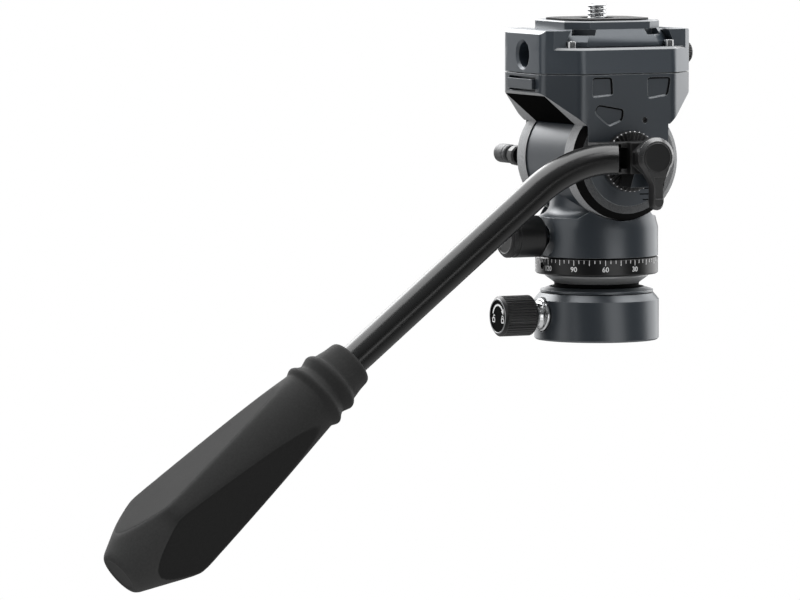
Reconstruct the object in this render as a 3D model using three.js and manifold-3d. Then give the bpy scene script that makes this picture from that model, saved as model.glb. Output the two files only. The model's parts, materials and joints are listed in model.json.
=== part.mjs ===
// A compact fluid video head on a levelling base, with a side handle and a quick-release plate.
// Millimetres. Origin on the tripod face, Z up, X towards the lens, Y across, -Y is the handle side.

import * as THREE from 'three';
import { mergeVertices } from 'three/addons/utils/BufferGeometryUtils.js';
import Module from 'manifold-3d';

const wasm = await Module();
wasm.setup();

// Clearances and steps

const gap = 0.3;
const overrun = 2;
const steps = { large: 56, medium: 28, small: 16, arc: 6, sweep: 20 };

// Levelling base

const base = {
  radius: 20,
  wallTop: 12.9,
  shoulderRadius: 18.2,
  shoulderTop: 15,
  edge: 0.5,
  floor: 3.5,
  bossWall: 1.7,
  bossTop: 8.5,
};
const bush = { radius: 6, hole: 4, height: 8 };
const retainer = { height: 1.6, band: 0.7, outer: 18.1, inner: 15.2 };
const liner = { wall: 0.8, lowDegrees: -22, highDegrees: 2, slit: 1.5 };
const ball = {
  centre: 12,
  radius: 15.4,
  foot: 7.2,
  waistDegrees: 17.4,
  neckRadius: 13.6,
  neckDrop: 0.7,
  neckTop: 18.2,
  platformRadius: 16.6,
  platformRise: 2.2,
  platformEdge: 0.5,
  spigotRadius: 12,
  recessRadius: 9.5,
  recessTop: 13,
};
const scale = { radius: 19.7, height: 5.5, edge: 0.4, screwHole: 1.1, screwDepth: 2.5 };
const spindle = { radius: 5, foot: 14.5, nutRadius: 8, nutHeight: 4.4, nutFlats: 6 };

// Level lock

const levelLock = { height: 8.3, travel: 0.25 };
const levelPad = { radius: 3.3, back: 18.3 };
const levelCollar = {
  spotDepth: 0.9,
  barrelRadius: 3.3,
  barrelLength: 0.8,
  flangeRadius: 5.25,
  flange: 1.3,
  neckRadius: 4,
  neck: 2.8,
  lip: 0.5,
};
const levelScrew = { radius: 1.9, grip: 6 };
const levelKnob = { radius: 6.5, length: 12, edge: 0.8, flutes: 24, fluteDepth: 0.45 };

// Pan housing

const pan = {
  radius: 19.7,
  height: 12.5,
  taperHeight: 3.5,
  topRadius: 18.8,
  cavityRadius: 13.8,
  cavityHeight: 3,
  discHeight: 2.4,
  neckRadius: 15.1,
  neckFillet: 4.2,
  wingRise: 0.92,
};
const panLock = { rise: 3.5, padRadius: 3.1, padLength: 6, spotRadius: 7.1, spotDepth: 1.1 };
const panScrew = { radius: 1.9, grip: 8 };
const panKnob = { radius: 6.65, length: 12.9, stand: 2.1, edge: 0.9, ring: 1.2, ringDepth: 0.35 };

// Tilt drum and cradle, measured from the tilt axis

const tiltAxis = 58;
const drum = { radius: 18.6, halfWidth: 12.9, boreRadius: 11.5 };
const bearing = { width: 4.2 };
const shaft = { radius: 5, hole: 2.8 };
const cradle = {
  halfLength: 26.9,
  halfWidth: 21.4,
  cornerLength: 10.1,
  cornerWidth: 8.6,
  cornerRadius: 1.6,
  cheekRadius: 18.95,
  cheekBevel: 2.15,
  faceRadius: 14.4,
  faceStep: 0.4,
  slopeTop: 21.7,
  slopeFoot: 11.55,
  webClearance: 0.5,
  seam: 27.6,
};
const seamGap = gap;
const pocket = { depth: 0.5, corner: 1.2 };
const keyScrew = { x: 5.9, height: 12.9, radius: 1, depth: 1.6 };
const railSlot = { halfWidth: 10, bottom: 22.1, top: 26.7, depth: 2 };
const rail = { margin: 0.7, sideMargin: 1.6, stand: 1.1 };

// Quick-release clamp, heights above the clamp's own seat

const clamp = { floor: 8.2, top: 13.6, edge: 0.7, blockHalfWidth: 15.5, blockEdge: 1.2 };
const accessory = { radius: 4, height: 5.7, depth: 6.6, bevel: 0.8 };
const stopPin = { radius: 1.5, x: 17.6, y: 15.7, depth: 4, stand: 2.1 };
const clampEnd = 9.8;
const jaw = { thickness: 2.6, halfWidth: 11, travel: 1, tongueHalfWidth: 4, tongue: 6, drop: 0.3 };
const jawScrew = { radius: 1.6, height: 5.4, reach: 3, grip: 4 };
const jawKnob = { radius: 3.5, length: 6.2, edge: 0.6, flutes: 16, fluteDepth: 0.3 };

// Quick-release plate and camera screw

const plate = {
  halfLength: cradle.halfLength - clampEnd,
  halfWidth: 15.5,
  cornerLength: 6.3,
  cornerWidth: 5.5,
  flange: 2.55,
  dovetail: 4,
  flare: 2,
  band: 1.4,
  edge: 0.35,
};
const cornerPocket = { width: 7.4, height: 1.9, depth: 1.6, rise: 1 };
const pad = { height: 0.6, inset: 2.2, hole: 5.5 };
const cameraScrew = { radius: 3.05, stand: 5.5, tip: 0.6, headRadius: 8, head: 3, slotWidth: 1.6, slotDepth: 1.4 };

// Handle, in a plane beside the cradle

const rosette = { radius: 9.7, height: 2.7, teeth: 36, tooth: 0.6 };
const arm = {
  back: 1.3,
  thickness: 9,
  tubeDepth: 6.5,
  halfHeight: 5.9,
  reach: 17,
  nose: 6.5,
  tongueTop: 4.2,
  tongueFoot: 5.4,
  tongueDrop: 7.7,
  tongueThickness: 7,
  notch: 4,
  boss: 3.4,
  bossTop: 5.3,
};
const handleRise = 2;
const tube = {
  radius: 5,
  bore: 3.8,
  bendRadius: 46,
  bendDegrees: 38.3,
  end: 8.9,
  straight: 1.1,
  lower: 140,
  mitreDegrees: 26.6,
};
const grip = {
  start: 83,
  length: 101.4,
  mouth: 7.9,
  throat: 9,
  ridge: 10.4,
  valley: 9.5,
  lastRidge: 11.1,
  ridgeWidth: 1.5,
  neck: 10.3,
  widest: 17.2,
  shoulder: 16,
  end: 7.8,
  edge: 1,
  flatDistance: 10.75,
};
const gripShares = {
  throat: 0.083,
  ridge: 0.1,
  valley: 0.13,
  lastRidge: 0.162,
  neck: 0.187,
  widest: 0.765,
  crown: 0.793,
  shoulder: 0.822,
};

// Clamp lever of the handle and lock lever of the tilt

const clampScrew = { radius: 2.5, reach: 8, grip: 1.3 };
const clampLever = {
  hubRadius: 5.7,
  faceRadius: 4.7,
  thickness: 3,
  length: 16.6,
  tipHalfWidth: 2.1,
  waistWidth: 8.5,
  rise: 2,
  pocketSide: 1.3,
  pocketTop: 6.1,
  pocketFoot: 13,
  pocketDepth: 1.1,
};
const lockScrew = { radius: 2.5, reach: 8, grip: 2.5 };
const lockLever = { hubRadius: 7, thickness: 3.6, length: 16.3, tipRadius: 3.3, edge: 0.5 };
const lockGrip = { radius: 3.05, length: 8, pinRadius: 2.1, pin: 2, edge: 0.6, foot: 2.4, rise: 0.3 };

// Sizes that follow from the ones above

const seatRadius = ball.radius + gap + liner.wall + gap;
const platformTop = ball.neckTop + ball.platformRise + ball.platformEdge;
const scaleFoot = platformTop + gap;
const scaleTop = scaleFoot + scale.height;
const panFoot = scaleTop + gap;
const panTop = panFoot + pan.height;
const panLockHeight = panFoot + pan.cavityHeight + panLock.rise;
const boreBottom = tiltAxis - drum.boreRadius;
const collarSeat = base.radius - levelCollar.spotDepth;
const collarEnd = collarSeat + gap + levelCollar.flange + levelCollar.neck;
const panSeat = pan.radius - panLock.spotDepth;
const seatHeight = tiltAxis + cradle.seam + seamGap;
const clampFloor = seatHeight + clamp.floor;
const clampTop = seatHeight + clamp.top;
const plateFoot = clampFloor + gap;
const dovetailFoot = plateFoot + plate.band;
const plateTop = dovetailFoot + plate.dovetail + plate.flange;
const flareSlope = plate.flare / plate.dovetail;
const rosetteSeat = cradle.halfWidth + gap;
const rosetteTip = rosetteSeat + rosette.height;
const armBack = rosetteTip + gap;
const armFront = armBack + arm.back + arm.thickness;
const tubePlane = armBack + arm.back + arm.tubeDepth;
const headFront = armFront + arm.boss;
const leverBack = headFront + gap;

// Geometry helpers

const degrees = Math.PI / 180;
const halfTurn = Math.PI;
const quarterTurn = Math.PI / 2;

// Merges shared corners and drops the empty triangles that a profile leaves on its axis.
function weld(geometry) {
  const bare = geometry.clone();
  bare.deleteAttribute('normal');
  bare.deleteAttribute('uv');
  const merged = mergeVertices(bare);
  const corners = merged.index.array;
  const kept = [];
  for (let i = 0; i < corners.length; i += 3) {
    const [a, b, c] = [corners[i], corners[i + 1], corners[i + 2]];
    if (a !== b && b !== c && c !== a) kept.push(a, b, c);
  }
  merged.setIndex(kept);
  return merged;
}

// Six times the signed volume is negative where the faces point inwards.
function facesInwards(geometry) {
  const places = geometry.attributes.position;
  const corners = geometry.index.array;
  const [a, b, c] = [new THREE.Vector3(), new THREE.Vector3(), new THREE.Vector3()];
  let sum = 0;
  for (let i = 0; i < corners.length; i += 3) {
    a.fromBufferAttribute(places, corners[i]);
    b.fromBufferAttribute(places, corners[i + 1]);
    c.fromBufferAttribute(places, corners[i + 2]);
    sum += a.dot(b.cross(c));
  }
  return sum < 0;
}

function closed(geometry) {
  const merged = weld(geometry);
  if (facesInwards(merged)) merged.setIndex(Array.from(merged.index.array).reverse());
  return merged;
}

function toManifold(geometry) {
  const merged = closed(geometry);
  return new wasm.Manifold(new wasm.Mesh({
    numProp: 3,
    vertProperties: new Float32Array(merged.attributes.position.array),
    triVerts: new Uint32Array(merged.index.array),
  }));
}

function fromManifold(manifold) {
  const mesh = manifold.getMesh();
  const geometry = new THREE.BufferGeometry();
  geometry.setAttribute('position', new THREE.BufferAttribute(new Float32Array(mesh.vertProperties), 3));
  geometry.setIndex(Array.from(mesh.triVerts));
  return geometry;
}

function cut(body, ...tools) {
  return fromManifold(tools.reduce((left, tool) => left.subtract(toManifold(tool)), toManifold(body)));
}

function join(body, ...others) {
  return fromManifold(others.reduce((sum, other) => sum.add(toManifold(other)), toManifold(body)));
}

function common(body, ...others) {
  return fromManifold(others.reduce((rest, other) => rest.intersect(toManifold(other)), toManifold(body)));
}

// Points of an arc about (x, y), from one angle to another.
function arcPoints(x, y, radius, from, to, count = steps.arc) {
  return Array.from({ length: count + 1 }, (_, i) => {
    const angle = from + (to - from) * i / count;
    return [x + radius * Math.cos(angle), y + radius * Math.sin(angle)];
  });
}

// A profile of [radius, height] points that starts and ends on the axis, turned about Z.
function turned(profile, count = steps.large) {
  const points = profile.map(([r, z]) => new THREE.Vector2(r, z));
  return new THREE.LatheGeometry(points, count).rotateX(quarterTurn);
}

// A profile that closes on itself, away from the axis.
function turnedRing(profile, count = steps.large) {
  return turned([...profile, profile[0]], count);
}

function rod(radius, from, to, count = steps.small) {
  return turned([[0, from], [radius, from], [radius, to], [0, to]], count);
}

function tubeOf(outer, inner, from, to, count = steps.medium) {
  return turnedRing([[inner, from], [outer, from], [outer, to], [inner, to]], count);
}

// A rod with a bevel at its far end.
function bevelledRod(radius, from, to, edge, count = steps.medium) {
  return turned([[0, from], [radius, from], [radius, to - edge], [radius - edge, to], [0, to]], count);
}

function outline(points) {
  return new THREE.Shape(points.map(([x, y]) => new THREE.Vector2(x, y)));
}

// Rounds each corner of a convex outline with a short curve.
function softened(points, radius, count = 3) {
  const soft = [];
  points.forEach(([x, y], i) => {
    const before = points[(i + points.length - 1) % points.length];
    const after = points[(i + 1) % points.length];
    const corner = new THREE.Vector2(x, y);
    const inward = new THREE.Vector2(before[0] - x, before[1] - y);
    const onward = new THREE.Vector2(after[0] - x, after[1] - y);
    const reach = Math.min(radius, inward.length() / 2, onward.length() / 2);
    const start = corner.clone().addScaledVector(inward.normalize(), reach);
    const end = corner.clone().addScaledVector(onward.normalize(), reach);
    const curve = new THREE.QuadraticBezierCurve(start, corner, end);
    curve.getPoints(count).forEach((point) => soft.push([point.x, point.y]));
  });
  return soft;
}

// An outline in X and Y, raised from one height to another, with a bevel on either end if asked.
function prism(points, from, to, edge = 0) {
  const shape = outline(points);
  const settings = { depth: to - from - 2 * edge, bevelEnabled: edge > 0, steps: 1, curveSegments: 1 };
  if (edge > 0) {
    Object.assign(settings, { bevelThickness: edge, bevelSize: edge, bevelOffset: -edge, bevelSegments: 1 });
  }
  return new THREE.ExtrudeGeometry(shape, settings).translate(0, 0, from + edge);
}

function box(x0, x1, y0, y1, z0, z1) {
  return prism([[x0, y0], [x1, y0], [x1, y1], [x0, y1]], z0, z1);
}

// The same, for an outline in X and Z that runs along Y.
function sidePrism(points, y0, y1, edge = 0) {
  return prism(points, -y1, -y0, edge).rotateX(quarterTurn);
}

function rotated(geometry, x, y, z) {
  return geometry.applyMatrix4(new THREE.Matrix4().makeRotationFromEuler(new THREE.Euler(x, y, z)));
}

// Turns a piece made along +Z so that it points the way its name says.
const alongMinusX = (geometry) => rotated(geometry, 0, -quarterTurn, 0);
const alongPlusX = (geometry) => rotated(geometry, 0, quarterTurn, 0);
const alongMinusY = (geometry) => rotated(geometry, quarterTurn, 0, 0);
const alongPlusY = (geometry) => rotated(geometry, -quarterTurn, 0, 0);

function octagon(halfLength, halfWidth, cornerLength, cornerWidth) {
  const [x, y] = [halfLength - cornerLength, halfWidth - cornerWidth];
  return [
    [x, -halfWidth], [halfLength, -y], [halfLength, y], [x, halfWidth],
    [-x, halfWidth], [-halfLength, y], [-halfLength, -y], [-x, -halfWidth],
  ];
}

// Rings with the same number of points, joined in order and capped at both ends.
function lofted(rings) {
  const count = rings[0].length;
  const places = rings.flat(2);
  const corners = [];
  for (let r = 0; r + 1 < rings.length; r += 1) {
    for (let i = 0; i < count; i += 1) {
      const [a, b] = [r * count + i, r * count + (i + 1) % count];
      corners.push(a, b, a + count, b, b + count, a + count);
    }
  }
  const last = (rings.length - 1) * count;
  for (let i = 1; i + 1 < count; i += 1) {
    corners.push(0, i + 1, i);
    corners.push(last, last + i, last + i + 1);
  }
  const geometry = new THREE.BufferGeometry();
  geometry.setAttribute('position', new THREE.BufferAttribute(new Float32Array(places), 3));
  geometry.setIndex(corners);
  return geometry;
}

// A knob along +Z with flutes cut round it and a bevel at each end.
function flutedKnob({ radius, length, edge, flutes, fluteDepth }, hole, holeDepth) {
  const points = Array.from({ length: flutes * 2 }, (_, i) => {
    const angle = i * halfTurn / flutes;
    const r = i % 2 ? radius - fluteDepth : radius;
    return [r * Math.cos(angle), r * Math.sin(angle)];
  });
  const body = turned([
    [0, 0], [radius - edge, 0], [radius, edge], [radius, length - edge], [radius - edge, length], [0, length],
  ], flutes * 2);
  return cut(common(body, prism(points, -overrun, length + overrun)), rod(hole, -overrun, holeDepth));
}

// Levelling base

function seatArc(radius, low, high, count = steps.arc) {
  const angle = (height) => Math.asin((height - ball.centre) / radius);
  return arcPoints(0, ball.centre, radius, angle(low), angle(high), count);
}

function baseCup() {
  const bossInner = bush.radius + gap;
  const bossOuter = bossInner + base.bossWall;
  const seat = seatArc(seatRadius, base.floor, base.shoulderTop, steps.arc).reverse();
  const body = turnedRing([
    [bossInner, 0],
    [base.radius - base.edge, 0],
    [base.radius, base.edge],
    [base.radius, base.wallTop],
    [base.shoulderRadius, base.shoulderTop],
    ...seat,
    [bossOuter, base.floor],
    [bossOuter, base.bossTop],
    [bossInner, base.bossTop],
  ]);
  const bore = alongMinusX(rod(levelPad.radius + gap, seatRadius / 2, base.radius + overrun));
  const spot = alongMinusX(rod(levelCollar.flangeRadius + gap, collarSeat, base.radius + overrun, steps.medium));
  return cut(body, bore.translate(0, 0, levelLock.height), spot.translate(0, 0, levelLock.height));
}

function tripodBush() {
  return tubeOf(bush.radius, bush.hole, 0, bush.height);
}

function retainerRing() {
  const foot = base.shoulderTop + gap;
  return turnedRing([
    [retainer.inner + gap, foot],
    [retainer.outer, foot],
    [retainer.outer, foot + retainer.band],
    [retainer.inner, foot + retainer.height],
  ]);
}

function ballLiner() {
  const inner = ball.radius + gap;
  const [low, high] = [liner.lowDegrees * degrees, liner.highDegrees * degrees];
  const shell = turnedRing([
    ...arcPoints(0, ball.centre, inner + liner.wall, low, high),
    ...arcPoints(0, ball.centre, inner, high, low),
  ]);
  const slit = box(0, base.radius, -liner.slit / 2, liner.slit / 2, 0, base.shoulderTop);
  return cut(shell, slit);
}

function levelBall() {
  const waist = ball.waistDegrees * degrees;
  const foot = Math.asin((ball.foot - ball.centre) / ball.radius);
  const waistHeight = ball.centre + ball.radius * Math.sin(waist);
  const cone = ball.neckTop + ball.platformRise;
  return turnedRing([
    [ball.recessRadius, ball.foot],
    ...arcPoints(0, ball.centre, ball.radius, foot, waist, steps.arc),
    [ball.neckRadius, waistHeight + ball.neckDrop],
    [ball.neckRadius, ball.neckTop],
    [ball.platformRadius, cone],
    [ball.platformRadius, platformTop],
    [ball.spigotRadius, platformTop],
    [ball.spigotRadius, scaleTop],
    [spindle.radius + gap, scaleTop],
    [spindle.radius + gap, ball.recessTop],
    [ball.recessRadius, ball.recessTop],
  ]);
}

function scaleRing() {
  const inner = ball.spigotRadius + gap;
  const body = turnedRing([
    [inner, scaleFoot],
    [scale.radius - scale.edge, scaleFoot],
    [scale.radius, scaleFoot + scale.edge],
    [scale.radius, scaleTop - scale.edge],
    [scale.radius - scale.edge, scaleTop],
    [inner, scaleTop],
  ], steps.large + steps.arc);
  const hole = alongMinusX(rod(scale.screwHole, scale.radius - scale.screwDepth, scale.radius + overrun));
  return cut(body, hole.translate(0, 0, (scaleFoot + scaleTop) / 2));
}

// The spindle carries the pan housing; its nut turns down on the housing's inner shoulder.
const nutFoot = boreBottom - gap - spindle.nutHeight;

function panSpindle() {
  return rod(spindle.radius, spindle.foot, boreBottom - gap, steps.medium);
}

function panNut() {
  const corner = spindle.nutRadius;
  const points = arcPoints(0, 0, corner, 0, 2 * halfTurn, spindle.nutFlats).slice(0, -1);
  return cut(prism(points, nutFoot, boreBottom - gap), rod(spindle.radius + gap, 0, tiltAxis, steps.medium));
}

// Level lock, modelled along +Z from the ball's axis outwards

function levelPadPiece() {
  const front = Math.sqrt(seatRadius ** 2 - (levelLock.height - ball.centre) ** 2);
  const blank = rod(levelPad.radius, front - overrun, levelPad.back);
  const seat = new THREE.SphereGeometry(seatRadius, steps.large, steps.medium);
  // The seat's centre stands above the lock's axis, which lies along X of this frame.
  return cut(blank, seat.translate(ball.centre - levelLock.height, 0, 0));
}

function levelCollarPiece() {
  const hole = levelScrew.radius + gap;
  const front = collarSeat + gap;
  return turnedRing([
    [hole, levelPad.back + levelLock.travel + gap],
    [levelCollar.barrelRadius, levelPad.back + levelLock.travel + gap],
    [levelCollar.barrelRadius, front],
    [levelCollar.flangeRadius, front],
    [levelCollar.flangeRadius, front + levelCollar.flange - levelCollar.lip],
    [levelCollar.flangeRadius - levelCollar.lip, front + levelCollar.flange],
    [levelCollar.neckRadius, front + levelCollar.flange],
    [levelCollar.neckRadius, collarEnd],
    [hole, collarEnd],
  ], steps.medium);
}

function levelScrewPiece() {
  return rod(levelScrew.radius, levelPad.back + levelLock.travel + gap, collarEnd + levelScrew.grip);
}

function levelKnobPiece() {
  return flutedKnob(levelKnob, levelScrew.radius + gap, levelScrew.grip);
}

// Pan housing with the tilt drum, one casting

function turret() {
  const fillet = arcPoints(
    pan.neckRadius + pan.neckFillet, panTop + pan.neckFillet, pan.neckFillet, 1.5 * halfTurn, halfTurn, 6,
  ).filter(([r]) => r < pan.topRadius);
  const body = turned([
    [0, panFoot + pan.cavityHeight],
    [pan.cavityRadius, panFoot + pan.cavityHeight],
    [pan.cavityRadius, panFoot],
    [pan.radius, panFoot],
    [pan.radius, panTop - pan.taperHeight],
    [pan.topRadius, panTop],
    ...fillet,
    [pan.neckRadius, tiltAxis],
    [0, tiltAxis],
  ]);
  const wingTop = panTop + (pan.radius - drum.halfWidth) * pan.wingRise;
  const wings = common(
    turned([
      [0, panTop - pan.taperHeight],
      [pan.radius, panTop - pan.taperHeight],
      [pan.topRadius, panTop],
      [pan.topRadius, wingTop],
      [0, wingTop],
    ]),
    alongPlusX(prism([
      [-panTop + pan.taperHeight, -pan.radius],
      [-wingTop, -pan.radius],
      [-panTop, -drum.halfWidth],
      [-panTop, drum.halfWidth],
      [-wingTop, pan.radius],
      [-panTop + pan.taperHeight, pan.radius],
    ], -pan.radius, pan.radius)),
    join(
      box(-pan.radius, pan.radius, drum.halfWidth, pan.radius, panFoot, wingTop),
      box(-pan.radius, pan.radius, -pan.radius, -drum.halfWidth, panFoot, wingTop),
    ),
  );
  const barrel = alongMinusY(rod(drum.radius, -drum.halfWidth, drum.halfWidth, steps.large));
  const bore = alongMinusY(rod(drum.boreRadius, -pan.radius, pan.radius, steps.medium));
  const relief = cradle.cheekRadius + gap;
  const sides = [1, -1].map((side) => {
    const disc = alongMinusY(rod(relief, drum.halfWidth, pan.radius + overrun, steps.large));
    return side > 0 ? disc.translate(0, 0, tiltAxis) : rotated(disc, 0, 0, halfTurn).translate(0, 0, tiltAxis);
  });
  const spindleBore = rod(spindle.radius + gap, panFoot, tiltAxis, steps.medium);
  const nutBore = rod(spindle.nutRadius + gap, nutFoot - gap, tiltAxis, steps.medium);
  const lockBore = alongMinusX(rod(panLock.padRadius + gap, spindle.radius / 2, pan.radius + overrun));
  const spot = alongMinusX(rod(panLock.spotRadius, panSeat, pan.radius + overrun, steps.medium));
  return cut(
    join(body, wings, barrel.translate(0, 0, tiltAxis)),
    bore.translate(0, 0, tiltAxis),
    ...sides,
    spindleBore,
    nutBore,
    lockBore.translate(0, 0, panLockHeight),
    spot.translate(0, 0, panLockHeight),
  );
}

function panDisc() {
  return tubeOf(pan.cavityRadius - gap, spindle.radius + gap, panFoot, panFoot + pan.discHeight);
}

function panPad() {
  const front = spindle.radius + gap;
  const blank = rod(panLock.padRadius, front - overrun, front + panLock.padLength);
  return cut(blank, rotated(rod(front, -panKnob.radius, panKnob.radius, steps.medium), 0, quarterTurn, 0));
}

const panPadBack = spindle.radius + gap + panLock.padLength + levelLock.travel + gap;

function panScrewPiece() {
  return rod(panScrew.radius, panPadBack, panSeat + panKnob.stand + panScrew.grip);
}

// A plain turned knob with a groove behind its end ring.
function panKnobPiece() {
  const { radius, length, edge, ring, ringDepth } = panKnob;
  const body = turned([
    [0, 0],
    [radius - edge, 0],
    [radius, edge],
    [radius, length - edge - 2 * ring],
    [radius - ringDepth, length - edge - 2 * ring],
    [radius - ringDepth, length - edge - ring],
    [radius, length - edge - ring],
    [radius, length - edge],
    [radius - edge, length],
    [0, length],
  ], steps.medium);
  return cut(body, rod(panScrew.radius + gap, -overrun, panScrew.grip + gap));
}

// Inside the drum, modelled along +Z and laid along Y

function dragCartridge() {
  const half = drum.halfWidth - bearing.width - gap;
  return tubeOf(drum.boreRadius - gap, shaft.radius + gap, -half, half);
}

function tiltBearing() {
  return tubeOf(drum.boreRadius - gap, shaft.radius + gap, 0, bearing.width);
}

function tiltShaft() {
  return tubeOf(shaft.radius, shaft.hole, -cradle.halfWidth, rosetteTip);
}

// Cradle, modelled about the tilt axis

// The cheek's side view: it slopes in from the ends and closes with a disc about the tilt axis.
function cheekOutline() {
  const foot = Math.sqrt(cradle.cheekRadius ** 2 - cradle.slopeFoot ** 2);
  return [
    [-cradle.halfLength, cradle.seam],
    [-cradle.halfLength, cradle.slopeTop],
    [-foot, cradle.slopeFoot],
    [foot, cradle.slopeFoot],
    [cradle.halfLength, cradle.slopeTop],
    [cradle.halfLength, cradle.seam],
  ];
}

// The polished face stands a little proud of the disc's blasted margin.
function cheekBlank() {
  const inner = drum.halfWidth + gap;
  const margin = cradle.halfWidth - cradle.faceStep;
  const upper = sidePrism(cheekOutline(), -cradle.halfWidth, -inner);
  const disc = alongMinusY(turned([
    [0, inner],
    [cradle.cheekRadius, inner],
    [cradle.cheekRadius, margin - cradle.cheekBevel],
    [cradle.cheekRadius - cradle.cheekBevel, margin],
    [0, margin],
  ]));
  const face = alongMinusY(rod(cradle.faceRadius, margin - gap, cradle.halfWidth, steps.large));
  const bridge = box(
    -cradle.faceRadius, cradle.faceRadius, -cradle.halfWidth, -margin + gap, 0, cradle.slopeFoot + gap,
  );
  return join(upper, disc, face, bridge);
}

// Shallow weight-saving pockets, as places in the cheek's face.
function cheekPockets() {
  const [w, h] = [cradle.halfLength, cradle.seam];
  const shares = [
    [[-0.48, 0.97], [-0.22, 0.97], [-0.205, 0.76], [-0.49, 0.74]],
    [[0.25, 0.96], [0.57, 0.96], [0.53, 0.75], [0.26, 0.71]],
    [[-0.41, 0.66], [-0.06, 0.6], [-0.075, 0.47], [-0.26, 0.4], [-0.46, 0.56]],
  ];
  return shares.map((corners) => sidePrism(
    softened(corners.map(([x, z]) => [x * w, z * h]), pocket.corner),
    -cradle.halfWidth - overrun,
    -cradle.halfWidth + pocket.depth,
  ));
}

function cradleBody() {
  const plan = softened(
    octagon(cradle.halfLength, cradle.halfWidth, cradle.cornerLength, cradle.cornerWidth), cradle.cornerRadius,
  );
  const block = prism(plan, -cradle.cheekRadius - overrun, cradle.seam);
  const cheek = cut(cheekBlank(), ...cheekPockets());
  const other = cheek.clone().rotateZ(halfTurn);
  const web = cut(
    sidePrism(cheekOutline(), -drum.halfWidth - 2 * gap, drum.halfWidth + 2 * gap),
    alongMinusY(rod(drum.radius + cradle.webClearance, -cradle.halfWidth, cradle.halfWidth, steps.large)),
    box(-cradle.halfLength, cradle.halfLength, -cradle.halfWidth, cradle.halfWidth, -drum.radius, cradle.slopeFoot),
  );
  const shaftHole = alongMinusY(
    rod(shaft.radius + gap, -cradle.halfWidth - overrun, cradle.halfWidth + overrun, steps.medium),
  );
  const slot = box(
    -cradle.halfLength - overrun, -cradle.halfLength + railSlot.depth,
    -railSlot.halfWidth, railSlot.halfWidth, railSlot.bottom, railSlot.top,
  );
  const key = alongMinusY(rod(keyScrew.radius, cradle.halfWidth - keyScrew.depth, cradle.halfWidth + overrun));
  return cut(
    common(join(cheek, other, web), block), shaftHole, slot, key.translate(keyScrew.x, 0, keyScrew.height),
  );
}

function endRail() {
  const front = cradle.halfLength + rail.stand;
  return box(
    -front, -cradle.halfLength + railSlot.depth - gap,
    -railSlot.halfWidth + rail.sideMargin, railSlot.halfWidth - rail.sideMargin,
    railSlot.bottom + rail.margin, railSlot.top - rail.margin,
  );
}

// A ring of radial teeth on a disc: every other spoke of its top is a ridge.
function toothedDisc(radius, hole, height) {
  const count = rosette.teeth * 2;
  const ring = (r, height2) => Array.from({ length: count }, (_, i) => {
    const angle = i * 2 * halfTurn / count;
    return [r * Math.cos(angle), r * Math.sin(angle), height2(i)];
  });
  const flat = () => 0;
  const crest = (i) => height - (i % 2 ? 0 : rosette.tooth);
  const blank = lofted([ring(radius, flat), ring(radius, crest)]);
  return cut(blank, rod(hole, -overrun, height + overrun, steps.medium));
}

// Quick-release clamp, modelled from its seat on the cradle

function clampPlan(inset = 0) {
  return softened(octagon(
    cradle.halfLength - inset, cradle.halfWidth - inset, cradle.cornerLength, cradle.cornerWidth,
  ), cradle.cornerRadius);
}

// Where the plate's flared edge passes the end blocks, seen from the side.
function flareAt(height) {
  const rise = Math.max(0, height - (dovetailFoot - seatHeight));
  return plate.halfLength + plate.flare + gap - rise * flareSlope;
}

function endBlock(side) {
  const innerFoot = flareAt(0);
  const innerTop = flareAt(clamp.top);
  const bend = dovetailFoot - seatHeight;
  const profile = [
    [innerFoot, clamp.floor - clamp.edge - gap],
    [cradle.halfLength, clamp.floor - clamp.edge - gap],
    [cradle.halfLength, clamp.top - clamp.blockEdge],
    [cradle.halfLength - clamp.blockEdge, clamp.top],
    [innerTop, clamp.top],
    [innerFoot, bend],
  ].map(([x, z]) => [side * x, z]);
  const blank = sidePrism(side > 0 ? profile : profile.reverse(), -clamp.blockHalfWidth, clamp.blockHalfWidth);
  return common(blank, prism(clampPlan(), 0, clamp.top + overrun));
}

function clampBody() {
  const slab = prism(clampPlan(), 0, clamp.floor);
  const trimmed = common(slab, prism(clampPlan(), -clamp.edge * 2, clamp.floor, clamp.edge));
  const jawBack = flareAt(0) + jaw.thickness + jaw.travel + gap;
  const jawPocket = box(
    flareAt(0) - overrun, jawBack, -jaw.halfWidth - gap, jaw.halfWidth + gap, clamp.floor, clamp.top + overrun,
  );
  const tongueSlot = box(
    flareAt(0) - gap, jawBack, -jaw.tongueHalfWidth - gap, jaw.tongueHalfWidth + gap,
    clamp.floor - jaw.tongue - gap, clamp.top,
  );
  const screwBore = alongPlusX(
    rod(jawScrew.radius + gap, flareAt(0) - jawScrew.reach - gap, cradle.halfLength + overrun),
  ).translate(0, 0, jawScrew.height);
  const thread = alongMinusX(turned([
    [0, cradle.halfLength - accessory.depth],
    [accessory.radius, cradle.halfLength - accessory.depth],
    [accessory.radius, cradle.halfLength - accessory.bevel],
    [accessory.radius + accessory.bevel, cradle.halfLength],
    [accessory.radius + accessory.bevel, cradle.halfLength + overrun],
    [0, cradle.halfLength + overrun],
  ], steps.medium)).translate(0, 0, accessory.height);
  const pinHoles = [1, -1].map((side) => rod(
    stopPin.radius + gap, clamp.floor - stopPin.depth - gap, clamp.floor + overrun,
  ).translate(side * stopPin.x, -stopPin.y, 0));
  return cut(
    join(trimmed, endBlock(1), endBlock(-1)), jawPocket, tongueSlot, screwBore, thread, ...pinHoles,
  );
}

function stopPinPiece() {
  return rod(stopPin.radius, clamp.floor - stopPin.depth, clamp.floor + stopPin.stand);
}

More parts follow.
